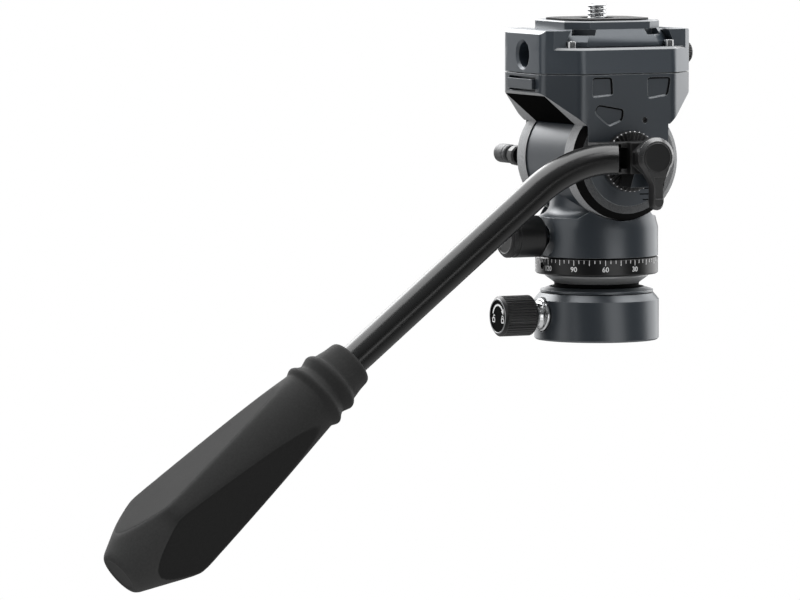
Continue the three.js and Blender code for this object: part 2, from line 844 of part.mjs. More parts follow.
function jawPiece() {
  const [foot, bend, top] = [clamp.floor + gap, dovetailFoot - seatHeight, clamp.top - jaw.drop];
  const back = flareAt(0) + jaw.thickness;
  const head = sidePrism([
    [flareAt(0), foot],
    [back, foot],
    [back, top],
    [flareAt(top), top],
    [flareAt(0), bend],
  ], -jaw.halfWidth, jaw.halfWidth);
  const tongue = box(
    flareAt(0), back, -jaw.tongueHalfWidth, jaw.tongueHalfWidth, clamp.floor - jaw.tongue, foot + gap,
  );
  const bore = alongPlusX(rod(jawScrew.radius + gap, 0, cradle.halfLength)).translate(0, 0, jawScrew.height);
  return cut(join(head, tongue), bore);
}

function jawScrewPiece() {
  return rod(jawScrew.radius, flareAt(0) - jawScrew.reach, cradle.halfLength + gap + jawScrew.grip);
}

function jawKnobPiece() {
  return flutedKnob(jawKnob, jawScrew.radius + gap, jawScrew.grip);
}

// Quick-release plate

function plateRing(grow, height) {
  return octagon(
    plate.halfLength + grow, plate.halfWidth + grow, plate.cornerLength, plate.cornerWidth,
  ).map(([x, y]) => [x, y, height]);
}

function platePlan(inset = 0) {
  return octagon(plate.halfLength - inset, plate.halfWidth - inset, plate.cornerLength, plate.cornerWidth);
}

function platePiece() {
  const flangeFoot = plate.band + plate.dovetail;
  const top = flangeFoot + plate.flange;
  const wedge = lofted([
    plateRing(plate.flare, 0),
    plateRing(plate.flare, plate.band),
    plateRing(0, flangeFoot),
    plateRing(0, top - plate.edge),
    plateRing(-plate.edge, top),
  ]);
  const corner = Math.atan2(plate.cornerLength, plate.cornerWidth);
  const middle = plate.band + plate.dovetail / 2 + cornerPocket.rise;
  const reach = Math.hypot(plate.halfLength - plate.cornerLength / 2, plate.halfWidth - plate.cornerWidth / 2);
  const pockets = [corner, -corner, halfTurn - corner, halfTurn + corner].map((angle) => box(
    reach - cornerPocket.depth, reach + plate.flare + overrun, -cornerPocket.width / 2, cornerPocket.width / 2,
    middle - cornerPocket.height / 2, middle + cornerPocket.height / 2,
  ).rotateZ(angle));
  const headPocket = rod(cameraScrew.headRadius + gap, -overrun, cameraScrew.head + 2 * gap, steps.medium);
  const hole = rod(cameraScrew.radius + gap, 0, top + overrun, steps.medium);
  return cut(wedge, ...pockets, headPocket, hole);
}

function platePad() {
  return cut(
    prism(softened(platePlan(pad.inset), pad.inset), 0, pad.height), rod(pad.hole, -gap, pad.height + gap, steps.medium),
  );
}

function cameraScrewPiece() {
  const tip = plateTop - plateFoot + cameraScrew.stand;
  const body = turned([
    [0, gap],
    [cameraScrew.headRadius, gap],
    [cameraScrew.headRadius, cameraScrew.head],
    [cameraScrew.radius, cameraScrew.head],
    [cameraScrew.radius, tip - cameraScrew.tip],
    [cameraScrew.radius - cameraScrew.tip, tip],
    [0, tip],
  ], steps.medium);
  const slot = box(
    -cameraScrew.headRadius - overrun, cameraScrew.headRadius + overrun,
    -cameraScrew.slotWidth / 2, cameraScrew.slotWidth / 2, -overrun, cameraScrew.slotDepth,
  );
  return cut(body, slot);
}

// Handle, modelled in X and Z about the clamp axis, with +Y of the head behind it

function armOutline() {
  const low = handleRise - arm.halfHeight;
  const high = handleRise + arm.halfHeight;
  return [
    [-arm.reach, low],
    [-arm.tongueTop, low],
    [-arm.tongueFoot, -arm.tongueDrop],
    [arm.tongueFoot, -arm.tongueDrop],
    [arm.nose, low],
    [arm.nose, high],
    [-arm.reach, high],
  ];
}

// An eight-sided boss that narrows towards the lever, about the clamp axis.
function armBoss() {
  const ring = (half, depth) => {
    const side = half * Math.tan(halfTurn / 8);
    return octagon(half, half, half - side, half - side).map(([x, z]) => [x, z + handleRise, depth]);
  };
  return alongMinusY(lofted([
    ring(arm.halfHeight, armFront - gap), ring(arm.halfHeight, armFront), ring(arm.bossTop, headFront),
  ]));
}

function handleArm() {
  const seat = armBack + arm.back;
  const [low, high] = [handleRise - arm.halfHeight, handleRise + arm.halfHeight];
  const tongue = sidePrism(armOutline(), -seat - arm.tongueThickness, -seat);
  const bar = box(-arm.reach, arm.nose, -armFront, -seat, low, high);
  const teeth = common(
    rotated(toothedDisc(rosette.radius, clampScrew.radius + gap, arm.back + gap), -quarterTurn, 0, 0)
      .translate(0, -seat - gap, 0),
    sidePrism(armOutline(), -seat - overrun, 0),
  );
  const socket = rod(tube.radius + gap, tube.end - gap, tube.end + tube.straight, steps.small);
  const channel = join(alongMinusX(socket), alongHandle(tube.radius + gap)).translate(0, -tubePlane, handleRise);
  const window = box(
    -arm.reach - overrun, -arm.nose, -armFront - overrun, -tubePlane, low - overrun, high + overrun,
  );
  const notch = box(
    -tube.end - gap, -arm.nose, -armFront, -seat - gap - gap, handleRise - arm.notch, handleRise + arm.notch,
  );
  const bore = alongMinusY(rod(clampScrew.radius + gap, 0, headFront + overrun));
  return cut(join(tongue, bar, teeth, armBoss()), channel, window, notch, bore);
}

// The tube's centre line: level at the arm, one bend, then straight down to the grip.
class HandlePath extends THREE.Curve {
  constructor() {
    super();
    this.level = tube.straight;
    this.turn = tube.bendDegrees * degrees;
    this.marks = [1 / steps.sweep, 1 - 3 / steps.sweep];
  }

  getPoint(t) {
    const start = new THREE.Vector3(-tube.end, 0, 0);
    const bend = new THREE.Vector3(-tube.end - this.level, 0, 0);
    const angle = this.turn * Math.min(1, Math.max(0, (t - this.marks[0]) / (this.marks[1] - this.marks[0])));
    if (t < this.marks[0]) return start.lerp(bend, t / this.marks[0]);
    const onArc = bend.add(new THREE.Vector3(
      -tube.bendRadius * Math.sin(angle), 0, -tube.bendRadius * (1 - Math.cos(angle)),
    ));
    const past = Math.max(0, (t - this.marks[1]) / (1 - this.marks[1])) * tube.lower;
    return onArc.add(new THREE.Vector3(-past * Math.cos(this.turn), 0, -past * Math.sin(this.turn)));
  }

  // Steps follow the parameter, so that the bend gets most of them.
  getUtoTmapping(u) {
    return u;
  }
}

// A round bar, or a tube where a bore is given, along the handle's path.
function alongHandle(radius, bore = 0) {
  const circle = (r) => arcPoints(0, 0, r, 0, 2 * halfTurn, steps.small).slice(0, -1);
  const shape = outline(circle(radius));
  if (bore > 0) shape.holes.push(outline(circle(bore).reverse()));
  return new THREE.ExtrudeGeometry(shape, {
    steps: steps.sweep, bevelEnabled: false, extrudePath: new HandlePath(),
  });
}

// The tube's front is mitred where it meets the boss.
function handleTube() {
  const wide = 2 * tube.radius;
  const mitre = box(0, tube.end, -wide, wide, -wide, wide);
  const tool = mitre.rotateZ(-tube.mitreDegrees * degrees).translate(-tube.end, 0, 0);
  return cut(alongHandle(tube.radius, tube.bore), tool);
}

// The rubber grip along +Z from its mouth: turned, with three equal flats where it swells, one of them on top.
function handleGrip() {
  const at = (share) => grip.length * share;
  const bump = (share, foot, crest) => [
    [foot, at(share) - grip.ridgeWidth], [crest, at(share) - grip.ridgeWidth / 3],
    [crest, at(share) + grip.ridgeWidth / 3], [foot, at(share) + grip.ridgeWidth],
  ];
  const body = turned([
    [0, 0],
    [grip.mouth - grip.edge, 0],
    [grip.mouth, grip.edge],
    ...bump(gripShares.ridge, grip.throat, grip.ridge),
    [grip.valley, at(gripShares.valley)],
    ...bump(gripShares.lastRidge, grip.valley, grip.lastRidge),
    [grip.neck, at(gripShares.neck)],
    [grip.widest, at(gripShares.widest)],
    [grip.widest, at(gripShares.crown)],
    [grip.shoulder, at(gripShares.shoulder)],
    [grip.end, grip.length - grip.edge],
    [grip.end - grip.edge, grip.length],
    [0, grip.length],
  ], steps.medium + steps.small);
  const reach = grip.widest + overrun;
  const flats = [0, 1, 2].map((i) => box(
    grip.flatDistance, reach, -reach, reach, at(gripShares.neck), grip.length,
  ).rotateZ(i * 2 * halfTurn / 3));
  const hole = rod(tube.radius + gap, -overrun, tube.lower - grip.start + overrun);
  return cut(body, ...flats, hole);
}

// Levers, modelled in X and Z about their screw, back face at zero, front towards +Z of this frame

function leverOutline(hubRadius, rise, length, tipHalfWidth, waist) {
  const start = 0.2 * halfTurn;
  return [
    ...arcPoints(0, rise, hubRadius, -start, halfTurn + start, steps.medium),
    [-tipHalfWidth, rise - waist],
    ...arcPoints(0, rise - length + tipHalfWidth, tipHalfWidth, halfTurn, 2 * halfTurn, steps.arc),
    [tipHalfWidth, rise - waist],
  ];
}

function clampLeverPiece() {
  const c = clampLever;
  const bevel = c.hubRadius - c.faceRadius;
  const plan = (inset) => leverOutline(
    c.hubRadius - inset, c.rise, c.length - inset, c.tipHalfWidth - inset * c.tipHalfWidth / c.hubRadius, c.waistWidth,
  );
  const ring = (inset, height) => plan(inset).map(([x, z]) => [x, z, height]);
  const blank = lofted([ring(0, 0), ring(0, c.thickness - bevel), ring(bevel, c.thickness)]);
  const groove = box(
    -c.pocketSide, c.hubRadius, c.rise - c.pocketFoot, c.rise - c.pocketTop,
    c.thickness - c.pocketDepth, c.thickness + overrun,
  );
  const hole = rod(clampScrew.radius + gap, -overrun, clampScrew.grip + gap);
  return cut(blank, groove, hole);
}

function clampScrewPiece() {
  return rod(clampScrew.radius, cradle.halfWidth - clampScrew.reach, leverBack + clampScrew.grip);
}

function lockLeverPiece() {
  const l = lockLever;
  const plan = leverOutline(l.hubRadius, 0, l.length + l.tipRadius, l.tipRadius, l.length / 2 + l.tipRadius);
  const blank = prism(plan, 0, l.thickness, l.edge);
  const screwHole = rod(lockScrew.radius + gap, -overrun, lockScrew.grip);
  const pinHole = rod(lockGrip.pinRadius + gap, l.thickness - lockGrip.foot, l.thickness + overrun)
    .translate(lockGrip.rise, -l.length, 0);
  return cut(blank, screwHole, pinHole);
}

function lockScrewPiece() {
  return rod(lockScrew.radius, cradle.halfWidth - lockScrew.reach, cradle.halfWidth + gap + lockScrew.grip - gap);
}

function lockGripPiece() {
  const l = lockGrip;
  const foot = lockLever.thickness - l.foot + gap;
  const shoulder = lockLever.thickness + l.pin;
  return turned([
    [0, foot],
    [l.pinRadius, foot],
    [l.pinRadius, shoulder],
    [l.radius - l.edge, shoulder],
    [l.radius, shoulder + l.edge],
    [l.radius, shoulder + l.length - l.edge],
    [l.radius - l.edge, shoulder + l.length],
    [0, shoulder + l.length],
  ], steps.small + 4);
}

// Finishes

const finish = (color, roughness, metalness) => ({ color, roughness, metalness });
const finishes = {
  body: finish(0x3f464d, 0.45, 0.8),
  black: finish(0x17181a, 0.5, 0.4),
  steel: finish(0xb9bcc0, 0.3, 1),
  brass: finish(0xb08d4a, 0.35, 1),
  rubber: finish(0x2b2c2e, 0.85, 0),
  tube: finish(0x1d1e20, 0.35, 0.5),
  polymer: finish(0xd8d6cc, 0.6, 0),
};

function group(parent, x = 0, y = 0, z = 0) {
  const made = new THREE.Group();
  made.position.set(x, y, z);
  parent.add(made);
  return made;
}

function piece(parent, name, geometry, look) {
  const mesh = new THREE.Mesh(closed(geometry), new THREE.MeshStandardMaterial(look));
  mesh.name = name;
  parent.add(mesh);
  return mesh;
}

// Assembly

const head = new THREE.Group();
const { body, black, steel, brass, rubber, polymer } = finishes;

const stand = group(head);
piece(stand, 'base_cup', baseCup(), body);
piece(stand, 'tripod_bush', tripodBush(), steel);
piece(stand, 'base_retainer', retainerRing(), body);
piece(stand, 'ball_liner', ballLiner(), polymer);

const levelLockGroup = group(head, 0, 0, levelLock.height);
levelLockGroup.rotation.y = -quarterTurn;
piece(levelLockGroup, 'level_pad', levelPadPiece(), brass);
piece(levelLockGroup, 'level_collar', levelCollarPiece(), steel);
piece(levelLockGroup, 'level_screw', levelScrewPiece(), steel);
piece(levelLockGroup, 'level_knob', levelKnobPiece(), black).position.z = collarEnd + gap;

piece(head, 'level_ball', levelBall(), body);
piece(head, 'scale_ring', scaleRing(), black);
piece(head, 'pan_spindle', panSpindle(), steel);
piece(head, 'pan_nut', panNut(), steel);

piece(head, 'turret', turret(), body);
piece(head, 'pan_disc', panDisc(), polymer);
const panLockGroup = group(head, 0, 0, panLockHeight);
panLockGroup.rotation.y = -quarterTurn;
piece(panLockGroup, 'pan_pad', panPad(), brass);
piece(panLockGroup, 'pan_screw', panScrewPiece(), steel);
piece(panLockGroup, 'pan_knob', panKnobPiece(), black).position.z = panSeat + panKnob.stand;

const tilt = group(head, 0, 0, tiltAxis);
const acrossTilt = group(tilt);
acrossTilt.rotation.x = quarterTurn;
piece(acrossTilt, 'drag_cartridge', dragCartridge(), black);
const bearingSeat = drum.halfWidth - bearing.width;
piece(acrossTilt, 'bearing_near', tiltBearing(), steel).position.z = bearingSeat;
piece(acrossTilt, 'bearing_far', tiltBearing(), steel).position.z = -drum.halfWidth;
piece(acrossTilt, 'tilt_shaft', tiltShaft(), steel);
const disc = toothedDisc(rosette.radius, shaft.radius + gap, rosette.height);
piece(acrossTilt, 'cheek_rosette', disc, body).position.z = rosetteSeat;

piece(tilt, 'cradle', cradleBody(), body);
piece(tilt, 'end_rail', endRail(), body);

const release = group(tilt, 0, 0, cradle.seam + seamGap);
piece(release, 'clamp_body', clampBody(), body);
piece(release, 'stop_pin_front', stopPinPiece(), steel).position.set(stopPin.x, -stopPin.y, 0);
piece(release, 'stop_pin_back', stopPinPiece(), steel).position.set(-stopPin.x, -stopPin.y, 0);
piece(release, 'jaw', jawPiece(), steel);
const jawDrive = group(release, 0, 0, jawScrew.height);
jawDrive.rotation.y = quarterTurn;
piece(jawDrive, 'jaw_screw', jawScrewPiece(), steel);
piece(jawDrive, 'jaw_knob', jawKnobPiece(), black).position.z = cradle.halfLength + gap;

const slidingPlate = group(release, 0, 0, clamp.floor + gap);
piece(slidingPlate, 'plate', platePiece(), body);
piece(slidingPlate, 'plate_pad', platePad(), rubber).position.z = plateTop - plateFoot;
piece(slidingPlate, 'camera_screw', cameraScrewPiece(), steel);

piece(tilt, 'handle_arm', handleArm(), black);
const handle = group(tilt, 0, -tubePlane, handleRise);
piece(handle, 'handle_tube', handleTube(), finishes.tube);
const turn = tube.bendDegrees * degrees;
const bendEnd = new THREE.Vector2(
  -tube.end - tube.straight - tube.bendRadius * Math.sin(turn), -tube.bendRadius * (1 - Math.cos(turn)),
);
const gripGroup = group(
  handle, bendEnd.x - grip.start * Math.cos(turn), 0, bendEnd.y - grip.start * Math.sin(turn),
);
gripGroup.rotation.y = -quarterTurn - turn;
piece(gripGroup, 'grip', handleGrip(), rubber);

const nearLever = group(tilt);
nearLever.rotation.x = quarterTurn;
piece(nearLever, 'clamp_screw', clampScrewPiece(), steel);
piece(nearLever, 'clamp_lever', clampLeverPiece(), black).position.z = leverBack;

const farLever = group(tilt);
farLever.rotation.x = -quarterTurn;
piece(farLever, 'lock_screw', lockScrewPiece(), steel);
const farParts = group(farLever, 0, 0, cradle.halfWidth + gap);
farParts.rotation.z = -quarterTurn;
piece(farParts, 'lock_lever', lockLeverPiece(), black);
piece(farParts, 'lock_grip', lockGripPiece(), steel).position.set(lockGrip.rise, -lockLever.length, 0);

export default head;
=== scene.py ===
import bpy
import bmesh
import json
import math
import numpy as np
from mathutils import Matrix, Vector


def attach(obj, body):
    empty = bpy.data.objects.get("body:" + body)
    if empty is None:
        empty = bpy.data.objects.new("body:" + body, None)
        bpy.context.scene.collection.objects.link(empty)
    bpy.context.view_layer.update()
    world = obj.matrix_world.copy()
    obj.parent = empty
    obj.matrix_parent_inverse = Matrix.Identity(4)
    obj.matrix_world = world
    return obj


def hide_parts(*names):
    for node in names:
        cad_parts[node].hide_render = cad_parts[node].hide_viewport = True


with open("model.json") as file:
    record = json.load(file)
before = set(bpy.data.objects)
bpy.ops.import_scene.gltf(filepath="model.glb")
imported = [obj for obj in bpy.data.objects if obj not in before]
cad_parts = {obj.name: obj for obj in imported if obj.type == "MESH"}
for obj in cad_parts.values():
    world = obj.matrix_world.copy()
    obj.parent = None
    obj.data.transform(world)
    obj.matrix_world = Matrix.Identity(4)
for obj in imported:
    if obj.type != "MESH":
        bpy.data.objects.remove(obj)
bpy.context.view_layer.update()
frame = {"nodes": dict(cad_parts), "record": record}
mm = 0.001
scene = bpy.context.scene
bodyOf = {node: body for body, nodes in frame["record"]["behaviour"]["bodies"].items() for node in nodes}
print("frame loaded,", len(frame["nodes"]), "nodes")


# Camera

cameraValues = {"azimuth": -26.66, "elevation": 4.24, "distance": 2.505, "lens": 351.45, "sensor": 36,
                "right": -0.063, "up": 0.0123, "near": 0.05, "far": 200}


def makeCamera(v):
    a, e = math.radians(v["azimuth"]), math.radians(v["elevation"])
    back = Vector((math.sin(a) * math.cos(e), -math.cos(a) * math.cos(e), math.sin(e)))
    right = Vector((math.cos(a), math.sin(a), 0))
    up = back.cross(right)
    data = bpy.data.cameras.new("camera")
    data.lens, data.sensor_width = v["lens"], v["sensor"]
    data.clip_start, data.clip_end = v["near"], v["far"]
    camera = bpy.data.objects.new("camera", data)
    scene.collection.objects.link(camera)
    place = right * v["right"] + up * v["up"] + back * v["distance"]
    turn = Matrix((right, up, back)).transposed().to_4x4()
    camera.matrix_world = Matrix.Translation(place) @ turn
    scene.camera = camera


makeCamera(cameraValues)
scene.view_settings.view_transform = "Standard"


# Shader nodes: the settings come first, then each input gets a value or the output that feeds it

def addNode(tree, kind, inputs=(), **settings):
    node = tree.nodes.new("ShaderNode" + kind)
    for name, value in settings.items():
        setattr(node, name, value)
    for key, value in dict(inputs).items():
        if isinstance(value, bpy.types.NodeSocket):
            tree.links.new(value, node.inputs[key])
        else:
            node.inputs[key].default_value = value
    return node


def mathNode(tree, operation, *values, clamp=False):
    return addNode(tree, "Math", dict(enumerate(values)), operation=operation, use_clamp=clamp).outputs[0]


# Floor, world and soft boxes

floorValues = {"size": 60.0, "height": -0.172, "colour": (1.0, 1.0, 1.0, 1)}
worldValues = {"low": (0.85, 0.85, 0.85, 1), "level": (0.06, 0.062, 0.065, 1), "high": (0.45, 0.46, 0.47, 1),
               "seen": (1, 1, 1, 1), "lowAt": 0.05, "levelAt": (0.4, 0.6), "highAt": 0.95}
boxAim = (-0.03, 0, 0.03)
boxKeys = ("azimuth", "elevation", "distance", "width", "height", "glow")
softBoxes = {   # direction in degrees, distance and size in metres, radiance
    "leftBox": (-176, 4, 2.2, 1.9, 2.0, 0.95),
    "frontBox": (-83, -9, 2.2, 1.3, 1.0, 1.7),
    "skirtBox": (-84, -34, 2.2, 1.5, 1.0, 0.75),
    "rightBox": (14, 6, 2.2, 2.2, 2.4, 2.2),
    "backBox": (84, 2, 2.2, 2.6, 1.3, 1.7),
    "backTopBox": (100, 30, 2.2, 2.4, 1.0, 4.0),
    "topBox": (72, 70, 2.0, 3.8, 3.4, 3.4),
    "flareBox": (-42, 42, 2.2, 1.2, 0.9, 3.0),
}


def makeFloor(v):
    half = v["size"] / 2
    mesh = bpy.data.meshes.new("floor")
    mesh.from_pydata([(-half, -half, v["height"]), (half, -half, v["height"]), (half, half, v["height"]),
                      (-half, half, v["height"])], [], [(0, 1, 2, 3)])
    floor = bpy.data.objects.new("floor", mesh)
    scene.collection.objects.link(floor)
    material = bpy.data.materials.new("paleFloor")
    material.use_nodes = True
    tree = material.node_tree
    tree.nodes.clear()
    glow = addNode(tree, "Emission", {"Color": v["colour"]})
    clear = addNode(tree, "BsdfTransparent")
    below = addNode(tree, "NewGeometry").outputs["Backfacing"]
    mix = addNode(tree, "MixShader", {"Fac": below, 1: glow.outputs[0], 2: clear.outputs[0]})
    addNode(tree, "OutputMaterial", {"Surface": mix.outputs[0]})
    mesh.materials.append(material)
    floor.visible_diffuse = floor.visible_glossy = floor.visible_shadow = False


def makeWorld(v):
    world = bpy.data.worlds.new("studio")
    scene.world = world
    world.use_nodes = True
    tree = world.node_tree
    tree.nodes.clear()
    split = addNode(tree, "SeparateXYZ", {0: addNode(tree, "TexCoord").outputs["Generated"]})
    lift = mathNode(tree, "MULTIPLY_ADD", split.outputs["Z"], 0.5, 0.5)   # from -1 to 1, to 0 to 1
    ramp = addNode(tree, "ValToRGB", {"Fac": lift})
    stops = ramp.color_ramp.elements
    stops[0].position, stops[0].color = v["lowAt"], v["low"]
    stops[1].position, stops[1].color = v["highAt"], v["high"]
    for place in v["levelAt"]:
        stops.new(place).color = v["level"]
    toCamera = addNode(tree, "LightPath").outputs["Is Camera Ray"]
    mix = addNode(tree, "Mix", {"Factor": toCamera, "A": ramp.outputs["Color"], "B": v["seen"]}, data_type="RGBA")
    sky = addNode(tree, "Background", {"Color": mix.outputs["Result"]})
    addNode(tree, "OutputWorld", {"Surface": sky.outputs[0]})


def makeSoftBox(name, v):
    a, e = math.radians(v["azimuth"]), math.radians(v["elevation"])
    direction = Vector((math.cos(a) * math.cos(e), math.sin(a) * math.cos(e), math.sin(e)))
    data = bpy.data.lights.new(name, "AREA")
    data.shape, data.size, data.size_y = "RECTANGLE", v["width"], v["height"]
    data.energy = v["glow"] * math.pi * v["width"] * v["height"]
    box = bpy.data.objects.new(name, data)
    box.location = direction * v["distance"] + Vector(boxAim)
    box.rotation_euler = (-direction).to_track_quat("-Z", "Y").to_euler()
    box.visible_camera = False
    scene.collection.objects.link(box)


makeFloor(floorValues)
makeWorld(worldValues)
for boxName, boxRow in softBoxes.items():
    makeSoftBox(boxName, dict(zip(boxKeys, boxRow)))
print("camera, floor and soft boxes ready")


# Shader groups: effects that several finishes share

def newGroup(name, inputs, outputs):
    tree = bpy.data.node_groups.new(name, "ShaderNodeTree")
    for side, labels in (("INPUT", inputs), ("OUTPUT", outputs)):
        for label in labels:
            kind = "NodeSocketVector" if label in ("Vector", "Normal") else "NodeSocketFloat"
            tree.interface.new_socket(name=label, in_out=side, socket_type=kind)
    return tree, tree.nodes.new("NodeGroupInput"), tree.nodes.new("NodeGroupOutput")


grainValues = {"detail": 3, "roughness": 0.62, "cloudScale": 45.0, "cloudDetail": 2, "swing": 4.0}
edgeSamples = 4


def makeGrain(v):   # Height: fine noise. Shade: 1 plus or minus Contrast. Smudge: broad clouds from 0 to 1
    tree, inside, outside = newGroup("surfaceGrain", ("Vector", "Scale", "Contrast"), ("Height", "Shade", "Smudge"))
    place = inside.outputs["Vector"]
    fine = addNode(tree, "TexNoise", {"Vector": place, "Scale": inside.outputs["Scale"], "Detail": v["detail"],
                                      "Roughness": v["roughness"]})
    cloud = addNode(tree, "TexNoise", {"Vector": place, "Scale": v["cloudScale"], "Detail": v["cloudDetail"]})
    centred = mathNode(tree, "MULTIPLY_ADD", fine.outputs["Fac"], v["swing"], -v["swing"] / 2)
    shade = mathNode(tree, "MULTIPLY_ADD", centred, inside.outputs["Contrast"], 1.0)
    tree.links.new(fine.outputs["Fac"], outside.inputs["Height"])
    tree.links.new(shade, outside.inputs["Shade"])
    tree.links.new(cloud.outputs["Fac"], outside.inputs["Smudge"])


# The mask also places a painted highlight: every finish mixes a lighter colour in along its edges, convex and concave.
def makeEdge():   # Mask: where the rounded normal turns away from the surface's own. Normal: the rounded normal
    tree, inside, outside = newGroup("roundedEdge", ("Width", "Gain"), ("Mask", "Normal"))
    rounded = addNode(tree, "Bevel", {"Radius": inside.outputs["Width"]}, samples=edgeSamples).outputs["Normal"]
    own = addNode(tree, "NewGeometry").outputs["Normal"]
    dot = addNode(tree, "VectorMath", {0: rounded, 1: own}, operation="DOT_PRODUCT")
    turned = mathNode(tree, "SUBTRACT", 1.0, dot.outputs["Value"])
    mask = mathNode(tree, "MULTIPLY", turned, inside.outputs["Gain"], clamp=True)
    tree.links.new(mask, outside.inputs["Mask"])
    tree.links.new(rounded, outside.inputs["Normal"])


makeGrain(grainValues)
makeEdge()


# Finishes: colour is linear, edge and bump in millimetres, grain in cycles a metre

finishKeys = ("colour", "metallic", "roughness", "ior", "grain", "contrast", "bump", "edge", "sheenColour", "gain",
              "cloud")
# In each row the second colour is the lighter colour of the painted highlight along edges.
finishRows = {
    "bodyAnodised": ((0.03, 0.039, 0.049), 0.25, 0.34, 1.85, 2600, 0.05, 0.004, 0.22, (0.3, 0.32, 0.33), 3.2, 0.05),
    "blastedGrey": ((0.36, 0.365, 0.37), 0.15, 0.6, 1.6, 2300, 0.33, 0.05, 0.2, (0.5, 0.51, 0.52), 2.5, 0.03),
    "tipBright": ((0.5, 0.5, 0.51), 0.8, 0.4, 1.5, 2600, 0.05, 0.003, 0.12, (0.8, 0.8, 0.8), 2.0, 0.04),
    "edgeBright": ((0.13, 0.134, 0.138), 0.75, 0.3, 1.85, 2600, 0.05, 0.003, 0.12, (0.4, 0.42, 0.43), 2.0, 0.04),
    "bareGrey": ((0.16, 0.163, 0.166), 0.15, 0.6, 1.6, 2300, 0.25, 0.02, 0.2, (0.3, 0.3, 0.3), 2.0, 0.04),
    "gripSilver": ((0.07, 0.071, 0.073), 0.5, 0.45, 1.6, 2300, 0.25, 0.02, 0.2, (0.4, 0.4, 0.4), 2.0, 0.04),
    "marginGrey": ((0.08, 0.083, 0.086), 0.2, 0.55, 1.6, 2300, 0.45, 0.05, 0.2, (0.3, 0.31, 0.32), 2.5, 0.03),
    "coneGrey": ((0.3, 0.304, 0.308), 0.3, 0.42, 1.7, 2300, 0.06, 0.01, 0.2, (0.5, 0.5, 0.5), 2.0, 0.04),
    "leverRim": ((0.14, 0.14, 0.14), 1.0, 0.26, 1.5, 2300, 0.06, 0.006, 0.15, (0.4, 0.4, 0.4), 2.0, 0.04),
    "blackAnodised": ((0.003, 0.0031, 0.0033), 0.0, 0.34, 1.48, 2400, 0.1, 0.005, 0.2, (0.1, 0.1, 0.105), 2.6, 0.05),
    "blackWeb": ((0.0012, 0.0012, 0.0012), 0.0, 0.85, 1.06, 1800, 0.12, 0.01, 0.15, (0.004, 0.004, 0.004), 2.0, 0.05),
    "matteFace": ((0.006, 0.006, 0.006), 0.0, 0.7, 1.08, 1500, 0.2, 0.02, 0.15, (0.02, 0.02, 0.02), 2.0, 0.05),
    "blackLever": ((0.0065, 0.0065, 0.0065), 0.0, 0.38, 1.7, 2000, 0.1, 0.01, 0.28, (0.09, 0.09, 0.09), 3.0, 0.05),
    "satinTube": ((0.005, 0.005, 0.0048), 0.0, 0.22, 1.55, 2800, 0.08, 0.004, 0.2, (0.12, 0.12, 0.115), 2.6, 0.06),
    "gripRubber": ((0.02, 0.02, 0.0198), 0.0, 0.5, 1.075, 1500, 0.1, 0.016, 0.5, (0.055, 0.055, 0.055), 1.6, 0.08),
    "plateRubber": ((0.016, 0.016, 0.016), 0.0, 0.7, 1.45, 1700, 0.18, 0.03, 0.2, (0.05, 0.05, 0.05), 1.6, 0.05),
    "brightSteel": ((0.58, 0.585, 0.59), 1.0, 0.2, 1.5, 2200, 0.03, 0.0008, 0.15, (0.8, 0.8, 0.8), 2.0, 0.08),
    "ringSteel": ((0.36, 0.365, 0.37), 1.0, 0.3, 1.5, 2200, 0.06, 0.004, 0.15, (0.7, 0.7, 0.7), 2.0, 0.08),
    "turnedBrass": ((0.45, 0.28, 0.09), 1.0, 0.32, 1.5, 1800, 0.06, 0.006, 0.15, (0.7, 0.5, 0.25), 2.0, 0.1),
    "slideNylon": ((0.55, 0.52, 0.45), 0.0, 0.48, 1.5, 900, 0.05, 0.01, 0.2, (0.65, 0.62, 0.55), 1.5, 0.06),
    "whiteMark": ((0.88, 0.88, 0.88), 0.0, 0.5, 1.45, 2500, 0.1, 0.004, 0.03, (0.6, 0.6, 0.6), 1.0, 0.05),
}
finishValues = {name: dict(zip(finishKeys, row)) for name, row in finishRows.items()}
clampPaler = 1.4   # the clamp's colour is the body's colour times this
bodyValues = finishValues["bodyAnodised"]
finishValues["clampAnodised"] = {**bodyValues, "colour": tuple(clampPaler * one for one in bodyValues["colour"])}


def makeFinish(name, v):
    material = bpy.data.materials.new(name)
    material.use_nodes = True
    tree = material.node_tree
    shader = tree.nodes["Principled BSDF"]
    shader.inputs["Metallic"].default_value = v["metallic"]
    shader.inputs["IOR"].default_value = v["ior"]
    place = addNode(tree, "TexCoord").outputs["Object"]
    grain = addNode(tree, "Group", {"Vector": place, "Scale": v["grain"], "Contrast": v["contrast"]},
                    node_tree=bpy.data.node_groups["surfaceGrain"])
    edge = addNode(tree, "Group", {"Width": v["edge"] * mm, "Gain": v["gain"]},
                   node_tree=bpy.data.node_groups["roundedEdge"])
    tinted = addNode(tree, "VectorMath", {0: v["colour"], "Scale": grain.outputs["Shade"]}, operation="SCALE",
                     name="tint")
    # Painted highlight: the lighter edge colour is mixed in where the edge mask is high.
    edgeSheen = addNode(tree, "Mix", {"Factor": edge.outputs["Mask"], "A": tinted.outputs["Vector"],
                                 "B": (*v["sheenColour"], 1)}, data_type="RGBA")
    spread = mathNode(tree, "MULTIPLY_ADD", grain.outputs["Smudge"], v["cloud"], v["roughness"] - v["cloud"] / 2)
    bump = addNode(tree, "Bump", {"Distance": v["bump"] * mm, "Height": grain.outputs["Height"],
                                  "Normal": edge.outputs["Normal"]})
    for label, output in (("Base Color", edgeSheen.outputs["Result"]), ("Roughness", spread),
                          ("Normal", bump.outputs["Normal"])):
        tree.links.new(output, shader.inputs[label])
    return material


finishes = {name: makeFinish(name, values) for name, values in finishValues.items()}
print("finishes ready,", len(finishes))


# Mesh tools

meshValues = {"merge": 0.003, "shrink": 0.002, "onPlane": 1e-7, "flatWeight": 100, "cornerShare": 0.48, "upright": 0.9,
              "sharp": 30}


